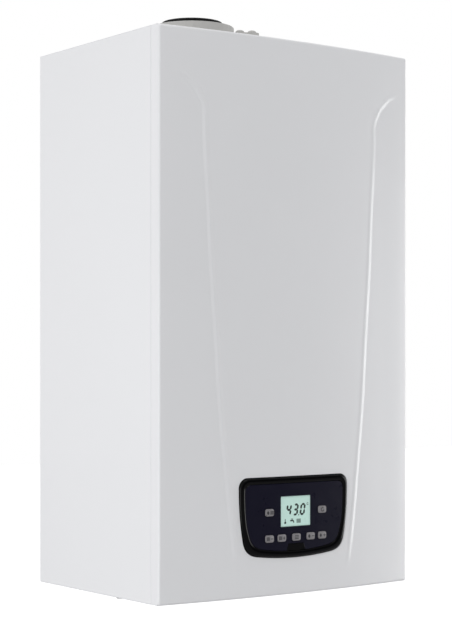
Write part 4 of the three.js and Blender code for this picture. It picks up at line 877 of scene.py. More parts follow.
def slab(
    name: str, outline: Sequence[Pair], low: float, high: float, edge: float = 0.0
) -> Shape:
    """A level plate with a given outline seen from above.

    Args:
        name: The piece's name.
        outline: The outline's corners as x and y.
        low: The z of its underside.
        high: The z of its top.
        edge: How far its top edge is rounded, in two steps.

    Returns:
        The shape.
    """
    middle = [sum(point[axis] for point in outline) / len(outline) for axis in (0, 1)]

    def level(share: float, z: float) -> list[Point]:
        """The outline at one level, drawn in towards its middle."""
        return [(*(m + (c - m) * share for m, c in zip(middle, point)), z) for point in outline]

    reach = max(math.dist(middle, point) for point in outline)
    rings = [level(0.0, low), level(1.0, low), level(1.0, high - edge)]
    if edge:
        first = 0.3 * edge
        rings += [level(1.0 - first / reach, high - first), level(1.0 - edge / reach, high)]
    return loft(name, [*rings, level(0.0, high)])


# ---- Sub-assemblies ------------------------------------------------------------------------------


@dataclass(frozen=True)
class Lamp:
    """A soft square lamp: its name, its place, the side of its square and its power in watts."""

    name: str
    place: Point
    size: float
    power: float


@dataclass
class Studio:
    """The camera, the lamps and the pale floor.

    The camera stands where the photograph's did, level, and shifted up a little. The surrounding
    light is dark towards `dark_side`, where the front mirrors the room back to the camera.
    """

    eye: Point = (-1.3296, -1.9574, -0.3445)
    yaw: float = -36.32
    lens: float = 96.12
    shift: float = 0.0716
    floor_size: float = 30.0
    floor_drop: float = 0.9
    floor_tone: Pair = (0.50, 0.54)
    floor_roughness: float = 0.7
    floor_glow: float = 0.75
    fill: float = 0.98
    dark_side: Point = (0.592, -0.806, 0.0)
    dark_power: float = 1.5
    dark_share: float = 0.97
    aim: Point = (0.0, -0.15, -0.29)
    lamps: tuple[Lamp, ...] = (
        Lamp("lamp_right", (2.3, -1.05, -0.45), 1.2, 20.0),
        Lamp("lamp_left", (-2.2, -0.8, -0.65), 1.0, 12.0),
        Lamp("lamp_above", (0.4, -2.0, 2.3), 1.4, 18.0),
    )

    def build(self) -> None:
        """Set up the whole studio."""
        self._camera()
        self._floor()
        self._surroundings()
        for lamp in self.lamps:
            self._hang(lamp)
        bpy.context.scene.view_settings.view_transform = "Standard"

    def _camera(self) -> None:
        """Put the camera at the photograph's point of view."""
        turn = (math.radians(90.0), 0.0, math.radians(self.yaw))
        bpy.ops.object.camera_add(location=self.eye, rotation=turn)
        camera = bpy.context.object
        camera.data.lens = self.lens
        camera.data.shift_y = self.shift
        bpy.context.scene.camera = camera

    def _floor(self) -> None:
        """Lay a pale floor well below the boiler, which glows only to the camera's eye."""
        low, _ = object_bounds()
        level = low[2] - self.floor_drop
        bpy.ops.mesh.primitive_plane_add(size=self.floor_size, location=(0.0, 0.0, level))
        floor = bpy.context.object
        floor.name = "floor"
        paper = bpy.data.materials.new("floor_paper")
        paper.use_nodes = True
        graph = Graph(paper.node_tree)
        shader = paper.node_tree.nodes["Principled BSDF"]
        shade = graph.spread(graph.noise(0.6, 2.0), self.floor_tone)
        mix = graph.add("ShaderNodeCombineColor")
        for channel in mix.inputs[:3]:
            graph.link(shade, channel)
        graph.link(mix.outputs["Color"], shader.inputs["Base Color"])
        shader.inputs["Emission Color"].default_value = (1.0, 1.0, 1.0, 1.0)
        seen = graph.add("ShaderNodeLightPath").outputs["Is Camera Ray"]
        glow = graph.math("MULTIPLY", seen, self.floor_glow)
        graph.link(glow, shader.inputs["Emission Strength"])
        shader.inputs["Roughness"].default_value = self.floor_roughness
        floor.data.materials.append(paper)
        floor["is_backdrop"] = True

    def _surroundings(self) -> None:
        """Fill the room with pale light that fades towards the dark side."""
        world = bpy.data.worlds.new("studio")
        world.use_nodes = True
        air = Graph(world.node_tree)
        sky = world.node_tree.nodes["Background"]
        sky.inputs["Color"].default_value = (1.0, 1.0, 1.0, 1.0)
        toward = air.add("ShaderNodeVectorMath", operation="DOT_PRODUCT")
        toward.inputs[1].default_value = self.dark_side
        air.link(air.add("ShaderNodeTexCoord").outputs["Generated"], toward.inputs[0])
        facing = air.math("MAXIMUM", toward.outputs["Value"], 0.0)
        shade = air.math("POWER", facing, self.dark_power)
        lost = air.math("MULTIPLY", shade, self.fill * self.dark_share)
        light = air.math("SUBTRACT", self.fill, lost)
        seen = air.add("ShaderNodeLightPath").outputs["Is Camera Ray"]
        air.link(air.math("MAXIMUM", light, seen), sky.inputs["Strength"])
        bpy.context.scene.world = world

    def _hang(self, lamp: Lamp) -> None:
        """Add one area lamp that looks at the boiler.

        Args:
            lamp: The lamp.
        """
        bpy.ops.object.light_add(type="AREA", location=lamp.place)
        thing = bpy.context.object
        thing.name = lamp.name
        thing.data.size = lamp.size
        thing.data.energy = lamp.power
        aim = Vector(self.aim) - Vector(lamp.place)
        thing.rotation_euler = aim.to_track_quat("-Z", "Y").to_euler()


@dataclass
class Bow:
    """The bowed front of the casing, which the cover and the fascia share.

    Depths are y at the casing's side edges and at its middle; `base` is the casing's underside.
    """

    half_width: float = 0.200
    edge_y: float = -0.284
    rise: float = 0.012
    base: float = -0.640
    height: float = 0.700

    def at(self, x: float, proud: float = 0.0) -> float:
        """The front's y at x, moved forward by `proud`."""
        return self.edge_y - self.rise * (1.0 - (x / self.half_width) ** 2) - proud


@dataclass
class FasciaOutline:
    """The controls' outline seen from the front: straight top, leaning sides and a curved chin.

    `cheek`, `jaw_high`, `jaw_low` and `chin` are control points of a side's lower curve, each as a
    distance in from the side and up from the bottom.
    """

    half: float = 0.0866
    top: float = -0.4916
    bottom: float = -0.5927
    shoulder: float = 0.0125
    taper: float = 0.050
    cheek: Pair = (0.006, 0.023)
    jaw_high: Pair = (0.0085, 0.010)
    jaw_low: Pair = (0.017, 0.005)
    chin: Pair = (0.030, 0.0036)
    steps: int = 14

    def points(self, grow: float) -> list[Pair]:
        """The outline's corners.

        Args:
            grow: How far it is grown all round.

        Returns:
            The corners as x and z, anticlockwise seen from the front.
        """
        half, top, bottom = self.half + grow, self.top + grow, self.bottom - grow
        shoulder = self.shoulder + grow / 2
        corners = (self.cheek, self.jaw_high, self.jaw_low, self.chin)
        cheek, high, low, chin = ((half - inset, bottom + lift) for inset, lift in corners)
        right = self._curve([chin, low, high, cheek])
        right += self._curve([cheek, (half, top - self.taper), (half, top - shoulder)])[1:]
        for step in range(1, self.steps + 1):
            turn = math.pi / 2 * step / self.steps
            across = half - shoulder + shoulder * math.cos(turn)
            right.append((across, top - shoulder + shoulder * math.sin(turn)))
        left = [(-x, z) for x, z in reversed(right)]
        over = self._curve([right[-1], left[0]])[1:-1]
        under = self._curve([left[-1], (0.0, bottom - self.chin[1]), right[0]])[1:-1]
        return right + over + left + under

    def _curve(self, controls: Sequence[Pair]) -> list[Pair]:
        """Sample a Bezier curve, or a straight line where there are only two control points.

        Args:
            controls: The control points.

        Returns:
            Points along it, both ends among them.
        """
        points = []
        for step in range(self.steps + 1):
            share = step / self.steps
            row = [Vector(point) for point in controls]
            while len(row) > 1:
                row = [a.lerp(b, share) for a, b in zip(row, row[1:])]
            points.append((row[0].x, row[0].y))
        return points


@dataclass
class FrontCover:
    """The lift-off cover: a bowed sheet with a raised centre panel and returns along its edges.

    `profile` is the panel's edge, as a height above the underside and a half width. `fade` is where
    the panel's step dies out sideways, and `foot` where it starts above the underside and over what
    length it grows. The `places` say where the grid's lines crowd. `tool` is the reach in y of what
    cuts the opening.
    """

    palette: Palette
    bow: Bow = field(default_factory=Bow)
    outline: FasciaOutline = field(default_factory=FasciaOutline)
    opening_gap: float = 0.001
    tool: Pair = (-0.33, -0.27)
    return_depth: float = 0.016
    fold_steps: Pair = (0.008, 0.010)
    corner: float = 0.0032
    sheet: float = 0.0012
    crease: float = 28.0
    panel_lift: float = 0.0006
    slope: float = 0.0085
    bead: Pair = (0.0048, 0.0010)
    fade: Pair = (0.150, 0.190)
    foot: Pair = (0.022, 0.045)
    tab: Pair = (0.024, 0.0284)
    tab_corner: float = 0.004
    tab_root: float = -0.2404
    tab_shave: float = 0.00005
    tab_x: float = 0.135
    screw_hole: float = 0.0023
    screw_y: float = -0.2514
    drill: float = 0.01
    columns: int = 200
    rows: int = 160
    column_places: tuple[Pair, ...] = (
        (0.0, 0.0), (0.12, 0.36), (0.80, 0.84), (0.88, 0.968), (1.0, 1.0),
    )
    row_places: tuple[Pair, ...] = (
        (0.0, 0.0), (0.06, 0.009), (0.60, 0.855), (0.88, 0.938), (0.94, 0.991), (1.0, 1.0),
    )
    profile: tuple[Pair, ...] = (
        (0.0200, 0.0830), (0.0350, 0.0885), (0.0450, 0.0910), (0.0570, 0.0930),
        (0.0890, 0.0970), (0.1260, 0.1015), (0.1600, 0.1050), (0.2010, 0.1100),
        (0.2470, 0.1145), (0.3370, 0.1205), (0.3780, 0.1240), (0.4140, 0.1267),
        (0.4500, 0.1286), (0.5000, 0.1310), (0.5400, 0.1343), (0.5770, 0.1360),
        (0.6020, 0.1360), (0.6110, 0.1385), (0.6270, 0.1480), (0.6400, 0.1630),
        (0.6470, 0.1770), (0.6540, 0.1990),
    )

    def build(self) -> None:
        """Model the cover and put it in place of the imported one."""
        shape = self._skin()
        self._fold(shape)
        shape.modify("SOLIDIFY", thickness=self.sheet, offset=-1.0, use_even_offset=True)
        shape.cut(plate("opening_tool", self.outline.points(self.opening_gap), *self.tool))
        shape = joined("cover_front", [shape, self._tab(-1), self._tab(1)]).smooth(self.crease)
        piece = shape.finished(self.palette, Look.WHITE_ENAMEL, Body.COVER)
        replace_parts(piece, "front_cover")

    def _tab(self, side: int) -> Shape:
        """The tab under the casing that takes a cover screw.

        Args:
            side: -1 for the left one, 1 for the right one.

        Returns:
            The tab.
        """
        middle, level = side * self.tab_x, self.bow.base + self.sheet / 2
        width, depth = self.tab
        outline = rounded(width, depth, self.tab_corner, (middle, self.tab_root - depth / 2))
        half = self.sheet / 2 - self.tab_shave
        shape = slab("tab", outline, level - half, level + half)
        centre = (middle, self.screw_y, level)
        hole = Shape.drum("hole_tool", centre, self.screw_hole, self.drill, Axis.Z, 24)
        return shape.cut(hole)

    def _half_panel(self, height: float) -> Pair:
        """Read the raised panel's edge at a height.

        Args:
            height: The height above the casing's underside.

        Returns:
            The panel's half width there, and how fast it widens.
        """
        for (low, narrow), (high, wide) in zip(self.profile, self.profile[1:]):
            if height <= high:
                lean = (wide - narrow) / (high - low)
                return narrow + lean * (height - low), lean
        return self.profile[-1][1], 0.0

    def lift(self, x: float, z: float) -> float:
        """How far forward the raised panel stands at a point of the front.

        Args:
            x: Across the front.
            z: Up the front.

        Returns:
            The forward distance. It is 0 beside the panel, and rises again near the cover's edge.
        """
        height = z - self.bow.base
        half, lean = self._half_panel(height)
        inside = (half - abs(x)) / math.hypot(1.0, lean)
        share = self._ease(inside / self.slope + 0.5)
        start, end = self.fade
        merge = self._ease((abs(x) - start) / (end - start))
        share += (1.0 - share) * merge
        width, proud = self.bead
        crest = proud * (1.0 - merge) * (1.0 - min(1.0, abs(inside) / width) ** 2) ** 2
        foot, growth = self.foot
        return (self.panel_lift * share + crest) * self._ease((height - foot) / growth)

    @staticmethod
    def _ease(value: float) -> float:
        """A step from 0 to 1 with rounded ends."""
        value = min(1.0, max(0.0, value))
        return value * value * (3.0 - 2.0 * value)

    def _skin(self) -> Shape:
        """Bend a grid to the bowed front, with its panel and its rounded edges.

        Returns:
            The front face, still an open sheet.
        """
        bpy.ops.object.select_all(action="DESELECT")
        bpy.ops.mesh.primitive_grid_add(
            x_subdivisions=self.columns, y_subdivisions=self.rows, size=1.0
        )
        shape = Shape(bpy.context.object, "cover_front")
        half, height, base = self.bow.half_width, self.bow.height, self.bow.base
        for vertex in shape.thing.data.vertices:
            side = self._spread(min(1.0, abs(vertex.co.x) * 2.0), self.column_places)
            x = math.copysign(side, vertex.co.x) * half
            up = self._spread(min(1.0, max(0.0, vertex.co.y + 0.5)), self.row_places)
            z = base + up * height
            insets = (half - abs(x), height / 2 - abs(z - base - height / 2))
            vertex.co = (x, self.bow.at(x, self.lift(x, z)) + self._roll(insets), z)
        return shape

    @staticmethod
    def _spread(share: float, places: Sequence[Pair]) -> float:
        """Where a grid line falls, so that lines crowd where the surface bends.

        Args:
            share: The line's share of all lines, 0 to 1.
            places: Pairs of a share of lines and the share of the length it reaches.

        Returns:
            The share of the length.
        """
        for (low, start), (high, end) in zip(places, places[1:]):
            if share <= high:
                return start + (end - start) * (share - low) / (high - low)
        return 1.0

    def _roll(self, insets: Pair) -> float:
        """How far back the rounded edge falls, at distances in from a side and from an end."""
        short = math.hypot(*(max(0.0, self.corner - inset) for inset in insets))
        return self.corner - math.sqrt(self.corner**2 - min(short, self.corner) ** 2)

    def _fold(self, shape: Shape) -> None:
        """Turn the front's rim straight back to the seam.

        Args:
            shape: The front face.
        """
        folds = [{"value": (0.0, step, 0.0)} for step in self.fold_steps]
        shape.pick(Part.EDGE, lambda middle: False)
        shape.edit(
            Part.EDGE,
            lambda: bpy.ops.mesh.select_non_manifold(
                extend=False, use_wire=False, use_boundary=True, use_multi_face=False,
                use_non_contiguous=False, use_verts=False,
            ),
            lambda: bpy.ops.mesh.extrude_region_move(TRANSFORM_OT_translate=folds[0]),
            lambda: bpy.ops.mesh.extrude_region_move(TRANSFORM_OT_translate=folds[1]),
        )
        for vertex in shape.thing.data.vertices:
            if vertex.select:
                vertex.co.y = self.bow.edge_y + self.return_depth
        shape.face_out()


class Sign(Enum):
    """The signs printed on the buttons, each in its marks from left to right."""

    DROP_BARS = ("drop", "bars")
    RING = ("ring",)
    BARS_MINUS = ("bars", "minus")
    BARS_PLUS = ("bars", "plus")
    LINES = ("lines",)
    DROP_MINUS = ("drop", "minus")
    DROP_PLUS = ("drop", "plus")


@dataclass
class Button:
    """One push button: its body, its middle and the sign printed on it."""

    body: Body
    x: float
    z: float
    sign: Sign


@dataclass
class Fascia:
    """The control panel: a rolled gloss rim, a bowed face with openings, and the buttons.

    `rolled` is the rim's section, as an amount grown and a distance proud of the bow. `face` and
    `face_back` are distances proud of the bow too. `window` is the sensor window's opening.
    `tool` is the reach in y of what cuts the openings.
    """

    palette: Palette
    bow: Bow = field(default_factory=Bow)
    outline: FasciaOutline = field(default_factory=FasciaOutline)
    back: float = -0.2813
    ledge: float = 0.011
    rim: float = 0.008
    gap: float = 0.0003
    face: float = 0.0022
    face_edge: float = 0.0004
    face_back: float = -0.0008
    shares: tuple[float, ...] = (0.0, 0.2, 0.4, 0.6, 0.8, 1.0)
    rolled: tuple[Pair, ...] = (
        (0.0000, 0.0000), (-0.0002, 0.0012), (-0.0008, 0.0021), (-0.0018, 0.0027),
        (-0.0034, 0.0030), (-0.0052, 0.0029), (-0.0066, 0.0026), (-0.0074, 0.0021),
        (-0.0077, 0.0015), (-0.0077, -0.0011),
    )
    button_size: Point = (0.0128, 0.0091, 0.0026)
    button_proud: float = 0.0016
    button_edge: float = 0.0007
    lip: float = 0.001
    flange: float = 0.0012
    stem: float = 0.0025
    switch: float = -0.2842
    rows: Pair = (-0.535, -0.5678)
    inner_x: float = 0.0232
    outer_x: float = 0.0424
    screen: Pair = (0.048, 0.038)
    screen_corner: float = 0.001
    window: tuple[Pair, ...] = (
        (-0.0163, -0.5867), (0.0163, -0.5867), (0.0123, -0.5754), (-0.0123, -0.5754),
    )
    tool: Pair = (-0.305, -0.285)
    ink: float = 0.00008

    def build(self) -> None:
        """Model the rim, the face, the buttons and their signs."""
        self._rim()
        self._face()
        for button in self.buttons():
            self._button(button)

    def buttons(self) -> list[Button]:
        """Place the seven buttons, in their two rows.

        Returns:
            The buttons.
        """
        high, low = self.rows
        inner, outer = self.inner_x, self.outer_x
        return [
            Button(Body.MODE, -outer, high, Sign.DROP_BARS),
            Button(Body.RESET, outer, high, Sign.RING),
            Button(Body.HEATING_DOWN, -outer, low, Sign.BARS_MINUS),
            Button(Body.HEATING_UP, -inner, low, Sign.BARS_PLUS),
            Button(Body.MENU, 0.0, low, Sign.LINES),
            Button(Body.WATER_DOWN, inner, low, Sign.DROP_MINUS),
            Button(Body.WATER_UP, outer, low, Sign.DROP_PLUS),
        ]

    def _ring(self, grow: float, proud: float | None) -> list[Point]:
        """The outline at one level: `proud` of the bow, or flat at the frame's back if None."""
        points = self.outline.points(grow)
        return [(x, self.back if proud is None else self.bow.at(x, proud), z) for x, z in points]

    def _rim(self) -> None:
        """The frame, whose front rolls over from the outer edge to the face."""
        rings = [self._ring(0.0, None)]
        rings += [self._ring(grow, proud) for grow, proud in self.rolled]
        inner = self._ring(-self.ledge, self.rolled[-1][1])
        rings += [inner, self._ring(-self.ledge, None), rings[0]]
        shape = loft("fascia_rim", rings).smooth(40.0)
        piece = shape.finished(self.palette, Look.FASCIA_BLACK, Body.CONTROL_BOX)
        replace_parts(piece, "fascia_frame")

    def _face(self) -> None:
        """The face, with openings for the display, the buttons and the sensor window."""
        shape = loft("fascia_face", self._face_rings())
        width, height, corner = self.button_size
        slack = 2 * self.gap
        holes = [
            rounded(width + slack, height + slack, corner + self.gap, (button.x, button.z))
            for button in self.buttons()
        ]
        across, up = (size + slack for size in self.screen)
        holes.append(rounded(across, up, self.screen_corner, (0.0, self.rows[0]), 3))
        holes.append(list(self.window))
        for hole in holes:
            shape.cut(plate("hole_tool", hole, *self.tool))
        shape.smooth(25.0)
        piece = shape.finished(self.palette, Look.FASCIA_NAVY, Body.CONTROL_BOX)
        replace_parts(piece, "fascia_panel")

    def _face_rings(self) -> list[list[Point]]:
        """The face's rings, from the middle of its back round its edge to the front's middle.

        Returns:
            The rings.
        """
        edge = self.outline.points(-self.rim)
        middle = (self.outline.top + self.outline.bottom) / 2

        def scaled(share: float, proud: float) -> list[Point]:
            """The face's outline drawn in towards its middle."""
            return [
                (x * share, self.bow.at(x * share, proud), middle + (z - middle) * share)
                for x, z in edge
            ]

        rings = [scaled(share, self.face_back) for share in self.shares]
        rings.append(self._ring(-self.rim, self.face - self.face_edge))
        rings.append(self._ring(-self.rim - self.face_edge, self.face))
        return rings + [scaled(share, self.face) for share in reversed(self.shares[:-1])]

    def _button(self, button: Button) -> None:
        """One button's cap, a soft-edged pad with a sign printed on it.

        Args:
            button: The button.
        """
        name, middle = button.body.value, (button.x, button.z)
        width, height, corner = self.button_size
        front = self.bow.at(button.x, self.face + self.button_proud)
        step = self.bow.at(abs(button.x) + width / 2 + self.lip, self.face_back) + self.gap
        pad = plate("pad", rounded(width, height, corner, middle), front, step)
        pad.soften(self.button_edge, 3, 60.0)
        back, end = step + self.flange, self.switch - self.gap
        grown = rounded(width + 2 * self.lip, height + 2 * self.lip, corner, middle)
        flange = plate("flange", grown, step, back)
        centre = (button.x, (back + end) / 2, button.z)
        stem = Shape.drum("stem", centre, self.stem, end - step - self.flange, Axis.Y, 16)
        cap = joined(name + "_cap", [pad, flange, stem]).smooth(40.0)
        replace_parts(cap.finished(self.palette, Look.BUTTON_GREY, button.body), name)
        signs = Signs(button.x, button.z, front - self.ink, front + self.ink)
        sign = joined(name + "_sign", signs.draw(button.sign))
        sign.finished(self.palette, Look.PRINT, button.body, Look.BUTTON_GREY)


@dataclass
class Signs:
    """Small printed signs: bars, drops, rings, lines, plus and minus, about a middle."""

    LEFT: ClassVar[float] = -0.0029
    RIGHT: ClassVar[float] = 0.0031

    x: float
    z: float
    front: float
    back: float
    size: float = 0.0048
    line: float = 0.0008

    def draw(self, sign: Sign) -> list[Shape]:
        """Make the pieces of one sign.

        Args:
            sign: Which one.

        Returns:
            Its pieces.
        """
        marks = {
            "drop": self.drop, "bars": self.bars, "ring": self.ring,
            "lines": self.lines, "minus": self.minus, "plus": self.plus,
        }
        shifts = (0.0,) if len(sign.value) == 1 else (self.LEFT, self.RIGHT)
        pieces = []
        for mark, shift in zip(sign.value, shifts):
            pieces += marks[mark](self.x + shift)
        return pieces

    def stroke(self, low: Pair, high: Pair) -> Shape:
        """A rectangle between two corners."""
        points = [low, (high[0], low[1]), high, (low[0], high[1])]
        return plate("stroke", points, self.front, self.back)

    def bars(self, x: float) -> list[Shape]:
        """A radiator: four upright bars.

        Args:
            x: Their middle.

        Returns:
            The bars.
        """
        half, thin, pitch = self.size / 2, self.line / 2, 1.7
        places = [x + (index - 1.5) * self.line * pitch for index in range(4)]
        return [self.stroke((p - thin, self.z - half), (p + thin, self.z + half)) for p in places]

    def drop(self, x: float) -> list[Shape]:
        """A water drop, round below and drawn in above.

        Args:
            x: Its middle.

        Returns:
            The drop.
        """
        half, slim, pinch, steps = self.size / 2, 0.7, 0.75, 16
        points = []
        for step in range(steps):
            turn = 2 * math.pi * step / steps
            across = half * slim * (1.0 - pinch * max(0.0, math.sin(turn)) ** 2)
            points.append((x + across * math.cos(turn), self.z + half * math.sin(turn)))
        return [plate("drop", points, self.front, self.back)]

    def minus(self, x: float) -> list[Shape]:
        """A minus sign."""
        half, thin = self.size * 0.4, self.line / 2
        return [self.stroke((x - half, self.z - thin), (x + half, self.z + thin))]

    def plus(self, x: float) -> list[Shape]:
        """A plus sign, in three strokes that meet edge to edge.

        Args:
            x: Its middle.

        Returns:
            The strokes.
        """
        half, thin = self.size * 0.4, self.line / 2
        return [
            *self.minus(x),
            self.stroke((x - thin, self.z + thin), (x + thin, self.z + half)),
            self.stroke((x - thin, self.z - half), (x + thin, self.z - thin)),
        ]

    def lines(self, x: float) -> list[Shape]:
        """Three level lines.

        Args:
            x: Their middle.

        Returns:
            The lines.
        """
        half, thin, pitch = self.size * 0.65, self.line / 2, 2.4
        rows = [self.z + (index - 1) * self.line * pitch for index in range(3)]
        return [self.stroke((x - half, row - thin), (x + half, row + thin)) for row in rows]

    def ring(self, x: float) -> list[Shape]:
        """A ring of ten short strokes, open at its right.

        Args:
            x: Its middle.

        Returns:
            The strokes.
        """
        radius, reach = self.size * 0.45, 1.6
        corners = ((-0.5, -0.28), (0.5, -0.34), (0.5, 0.34), (-0.5, 0.28))
        strokes = []
        for step in range(10):
            turn = math.radians(60 + step * 30)
            points = []
            for far, side in corners:
                out, along = radius + far * self.line, side * radius * reach
                across = math.cos(turn) * out - math.sin(turn) * along
                up = math.sin(turn) * out + math.cos(turn) * along
                points.append((x + across, self.z + up))
            strokes.append(plate("stroke", points, self.front, self.back))
        return strokes


@dataclass
class Readout:
    """What the display shows: slanted seven-segment digits and three small signs.

    The digits' foot is at `bottom`. The offsets are from x and from the foot: of the dot and the
    degree mark, and of the thermometer, the tap and the bars, which stand below the digits.
    """

    palette: Palette
    x: float = 0.0006
    bottom: float = -0.5408
    front: float = -0.29712
    back: float = -0.29696
    height: float = 0.0152
    width: float = 0.0082
    pitch: float = 0.0111
    stroke: float = 0.0027
    slant: float = 0.16
    segment_gap: float = 0.0002
    text: str = "43.0"
    lit: dict[str, str] = field(
        default_factory=lambda: {"4": "bcfg", "3": "abcdg", "0": "abcdef"}
    )
    dot_offset: float = 0.00355
    dot: Pair = (0.0014, 0.0015)
    degree_offset: Pair = (0.0190, 0.0140)
    degree: Pair = (0.0027, 0.0005)
    thermometer_offset: Pair = (-0.0172, -0.0040)
    stem: tuple[Pair, Pair] = ((-0.0005, -0.0030), (0.0005, 0.0004))
    bulb: Pair = (0.0015, -0.0044)
    tap_offset: Pair = (-0.0062, -0.0064)
    tap: tuple[Pair, ...] = (
        (-0.0030, -0.0006), (0.0012, -0.0006), (0.0022, -0.0026), (0.0034, -0.0022),
        (0.0024, 0.0010), (0.0004, 0.0012), (0.0004, 0.0020), (0.0016, 0.0020),
        (0.0016, 0.0027), (-0.0018, 0.0027), (-0.0018, 0.0020), (-0.0006, 0.0020),
        (-0.0006, 0.0012), (-0.0030, 0.0010),
    )
    bars_offset: Pair = (0.0044, -0.0068)
    bars: Pair = (0.0052, 0.0010)

    def build(self) -> None:
        """Model the digits, the degree mark and the signs as one flat piece."""
        shapes = []
        for index, digit in enumerate(self.text.replace(".", "")):
            start = self.x + (index - 1.5) * self.pitch
            shapes += [self._segment(start, which) for which in self.lit[digit]]
        dot, (wide, high) = self.x + self.dot_offset, self.dot
        corners = [(dot, 0.0), (dot + wide, 0.0), (dot + wide, high), (dot, high)]
        shapes.append(self._slanted(corners))
        degree = self._signs(self.degree_offset, *self.degree)
        bars = self._signs(self.bars_offset, *self.bars)
        shapes += [*degree.ring(degree.x), *self._thermometer(), self._tap(), *bars.bars(bars.x)]
        piece = joined("readout", shapes)
        piece.finished(self.palette, Look.SEGMENT, Body.CONTROL_BOX, Look.DISPLAY_MINT)

    def _signs(self, offset: Pair, size: float, line: float) -> Signs:
        """Signs of a given size, at an offset from the digits' foot."""
        x, z = self.x + offset[0], self.bottom + offset[1]
        return Signs(x, z, self.front, self.back, size, line)

    def _slanted(self, points: Sequence[Pair]) -> Shape:
        """A plate given in upright coordinates above the digits' foot, leaned over."""
        leaned = [(x + self.slant * z, self.bottom + z) for x, z in points]
        return plate("segment", leaned, self.front, self.back)

    def _segment(self, start: float, which: str) -> Shape:
        """One of a digit's seven segments, a bar with pointed ends.

        Args:
            start: The digit's left edge at its foot.
            which: The segment's letter, a to g.

        Returns:
            The bar.
        """
        half, gap = self.stroke / 2, self.segment_gap
        left, right = start + half, start + self.width - half
        low, middle, high = half, self.height / 2, self.height - half
        if which in "adg":
            z = {"a": high, "d": low, "g": middle}[which]
            a, b = left + gap, right - gap
            under = [(a, z), (a + half, z - half), (b - half, z - half)]
            return self._slanted([*under, (b, z), (b - half, z + half), (a + half, z + half)])
        x = left if which in "ef" else right
        a, b = (low, middle) if which in "ce" else (middle, high)
        a, b = a + gap, b - gap
        right_side = [(x, a), (x + half, a + half), (x + half, b - half)]
        return self._slanted([*right_side, (x, b), (x - half, b - half), (x - half, a + half)])

    def _thermometer(self) -> list[Shape]:
        """A thermometer: a stem over a bulb.

        Returns:
            The two.
        """
        x, z = self.x + self.thermometer_offset[0], self.bottom + self.thermometer_offset[1]
        radius, drop = self.bulb
        turns = [math.pi * step / 6 for step in range(12)]
        bulb = [(x + radius * math.cos(turn), z + drop + radius * math.sin(turn)) for turn in turns]
        low, high = ((x + dx, z + dz) for dx, dz in self.stem)
        signs = self._signs(self.thermometer_offset, 0.0, 0.0)
        return [signs.stroke(low, high), plate("bulb", bulb, self.front, self.back)]

    def _tap(self) -> Shape:
        """A tap: a body, a spout that turns down, and a handle.

        Returns:
            The tap.
        """
        x, z = self.x + self.tap_offset[0], self.bottom + self.tap_offset[1]
        return plate("tap", [(x + dx, z + dz) for dx, dz in self.tap], self.front, self.back)


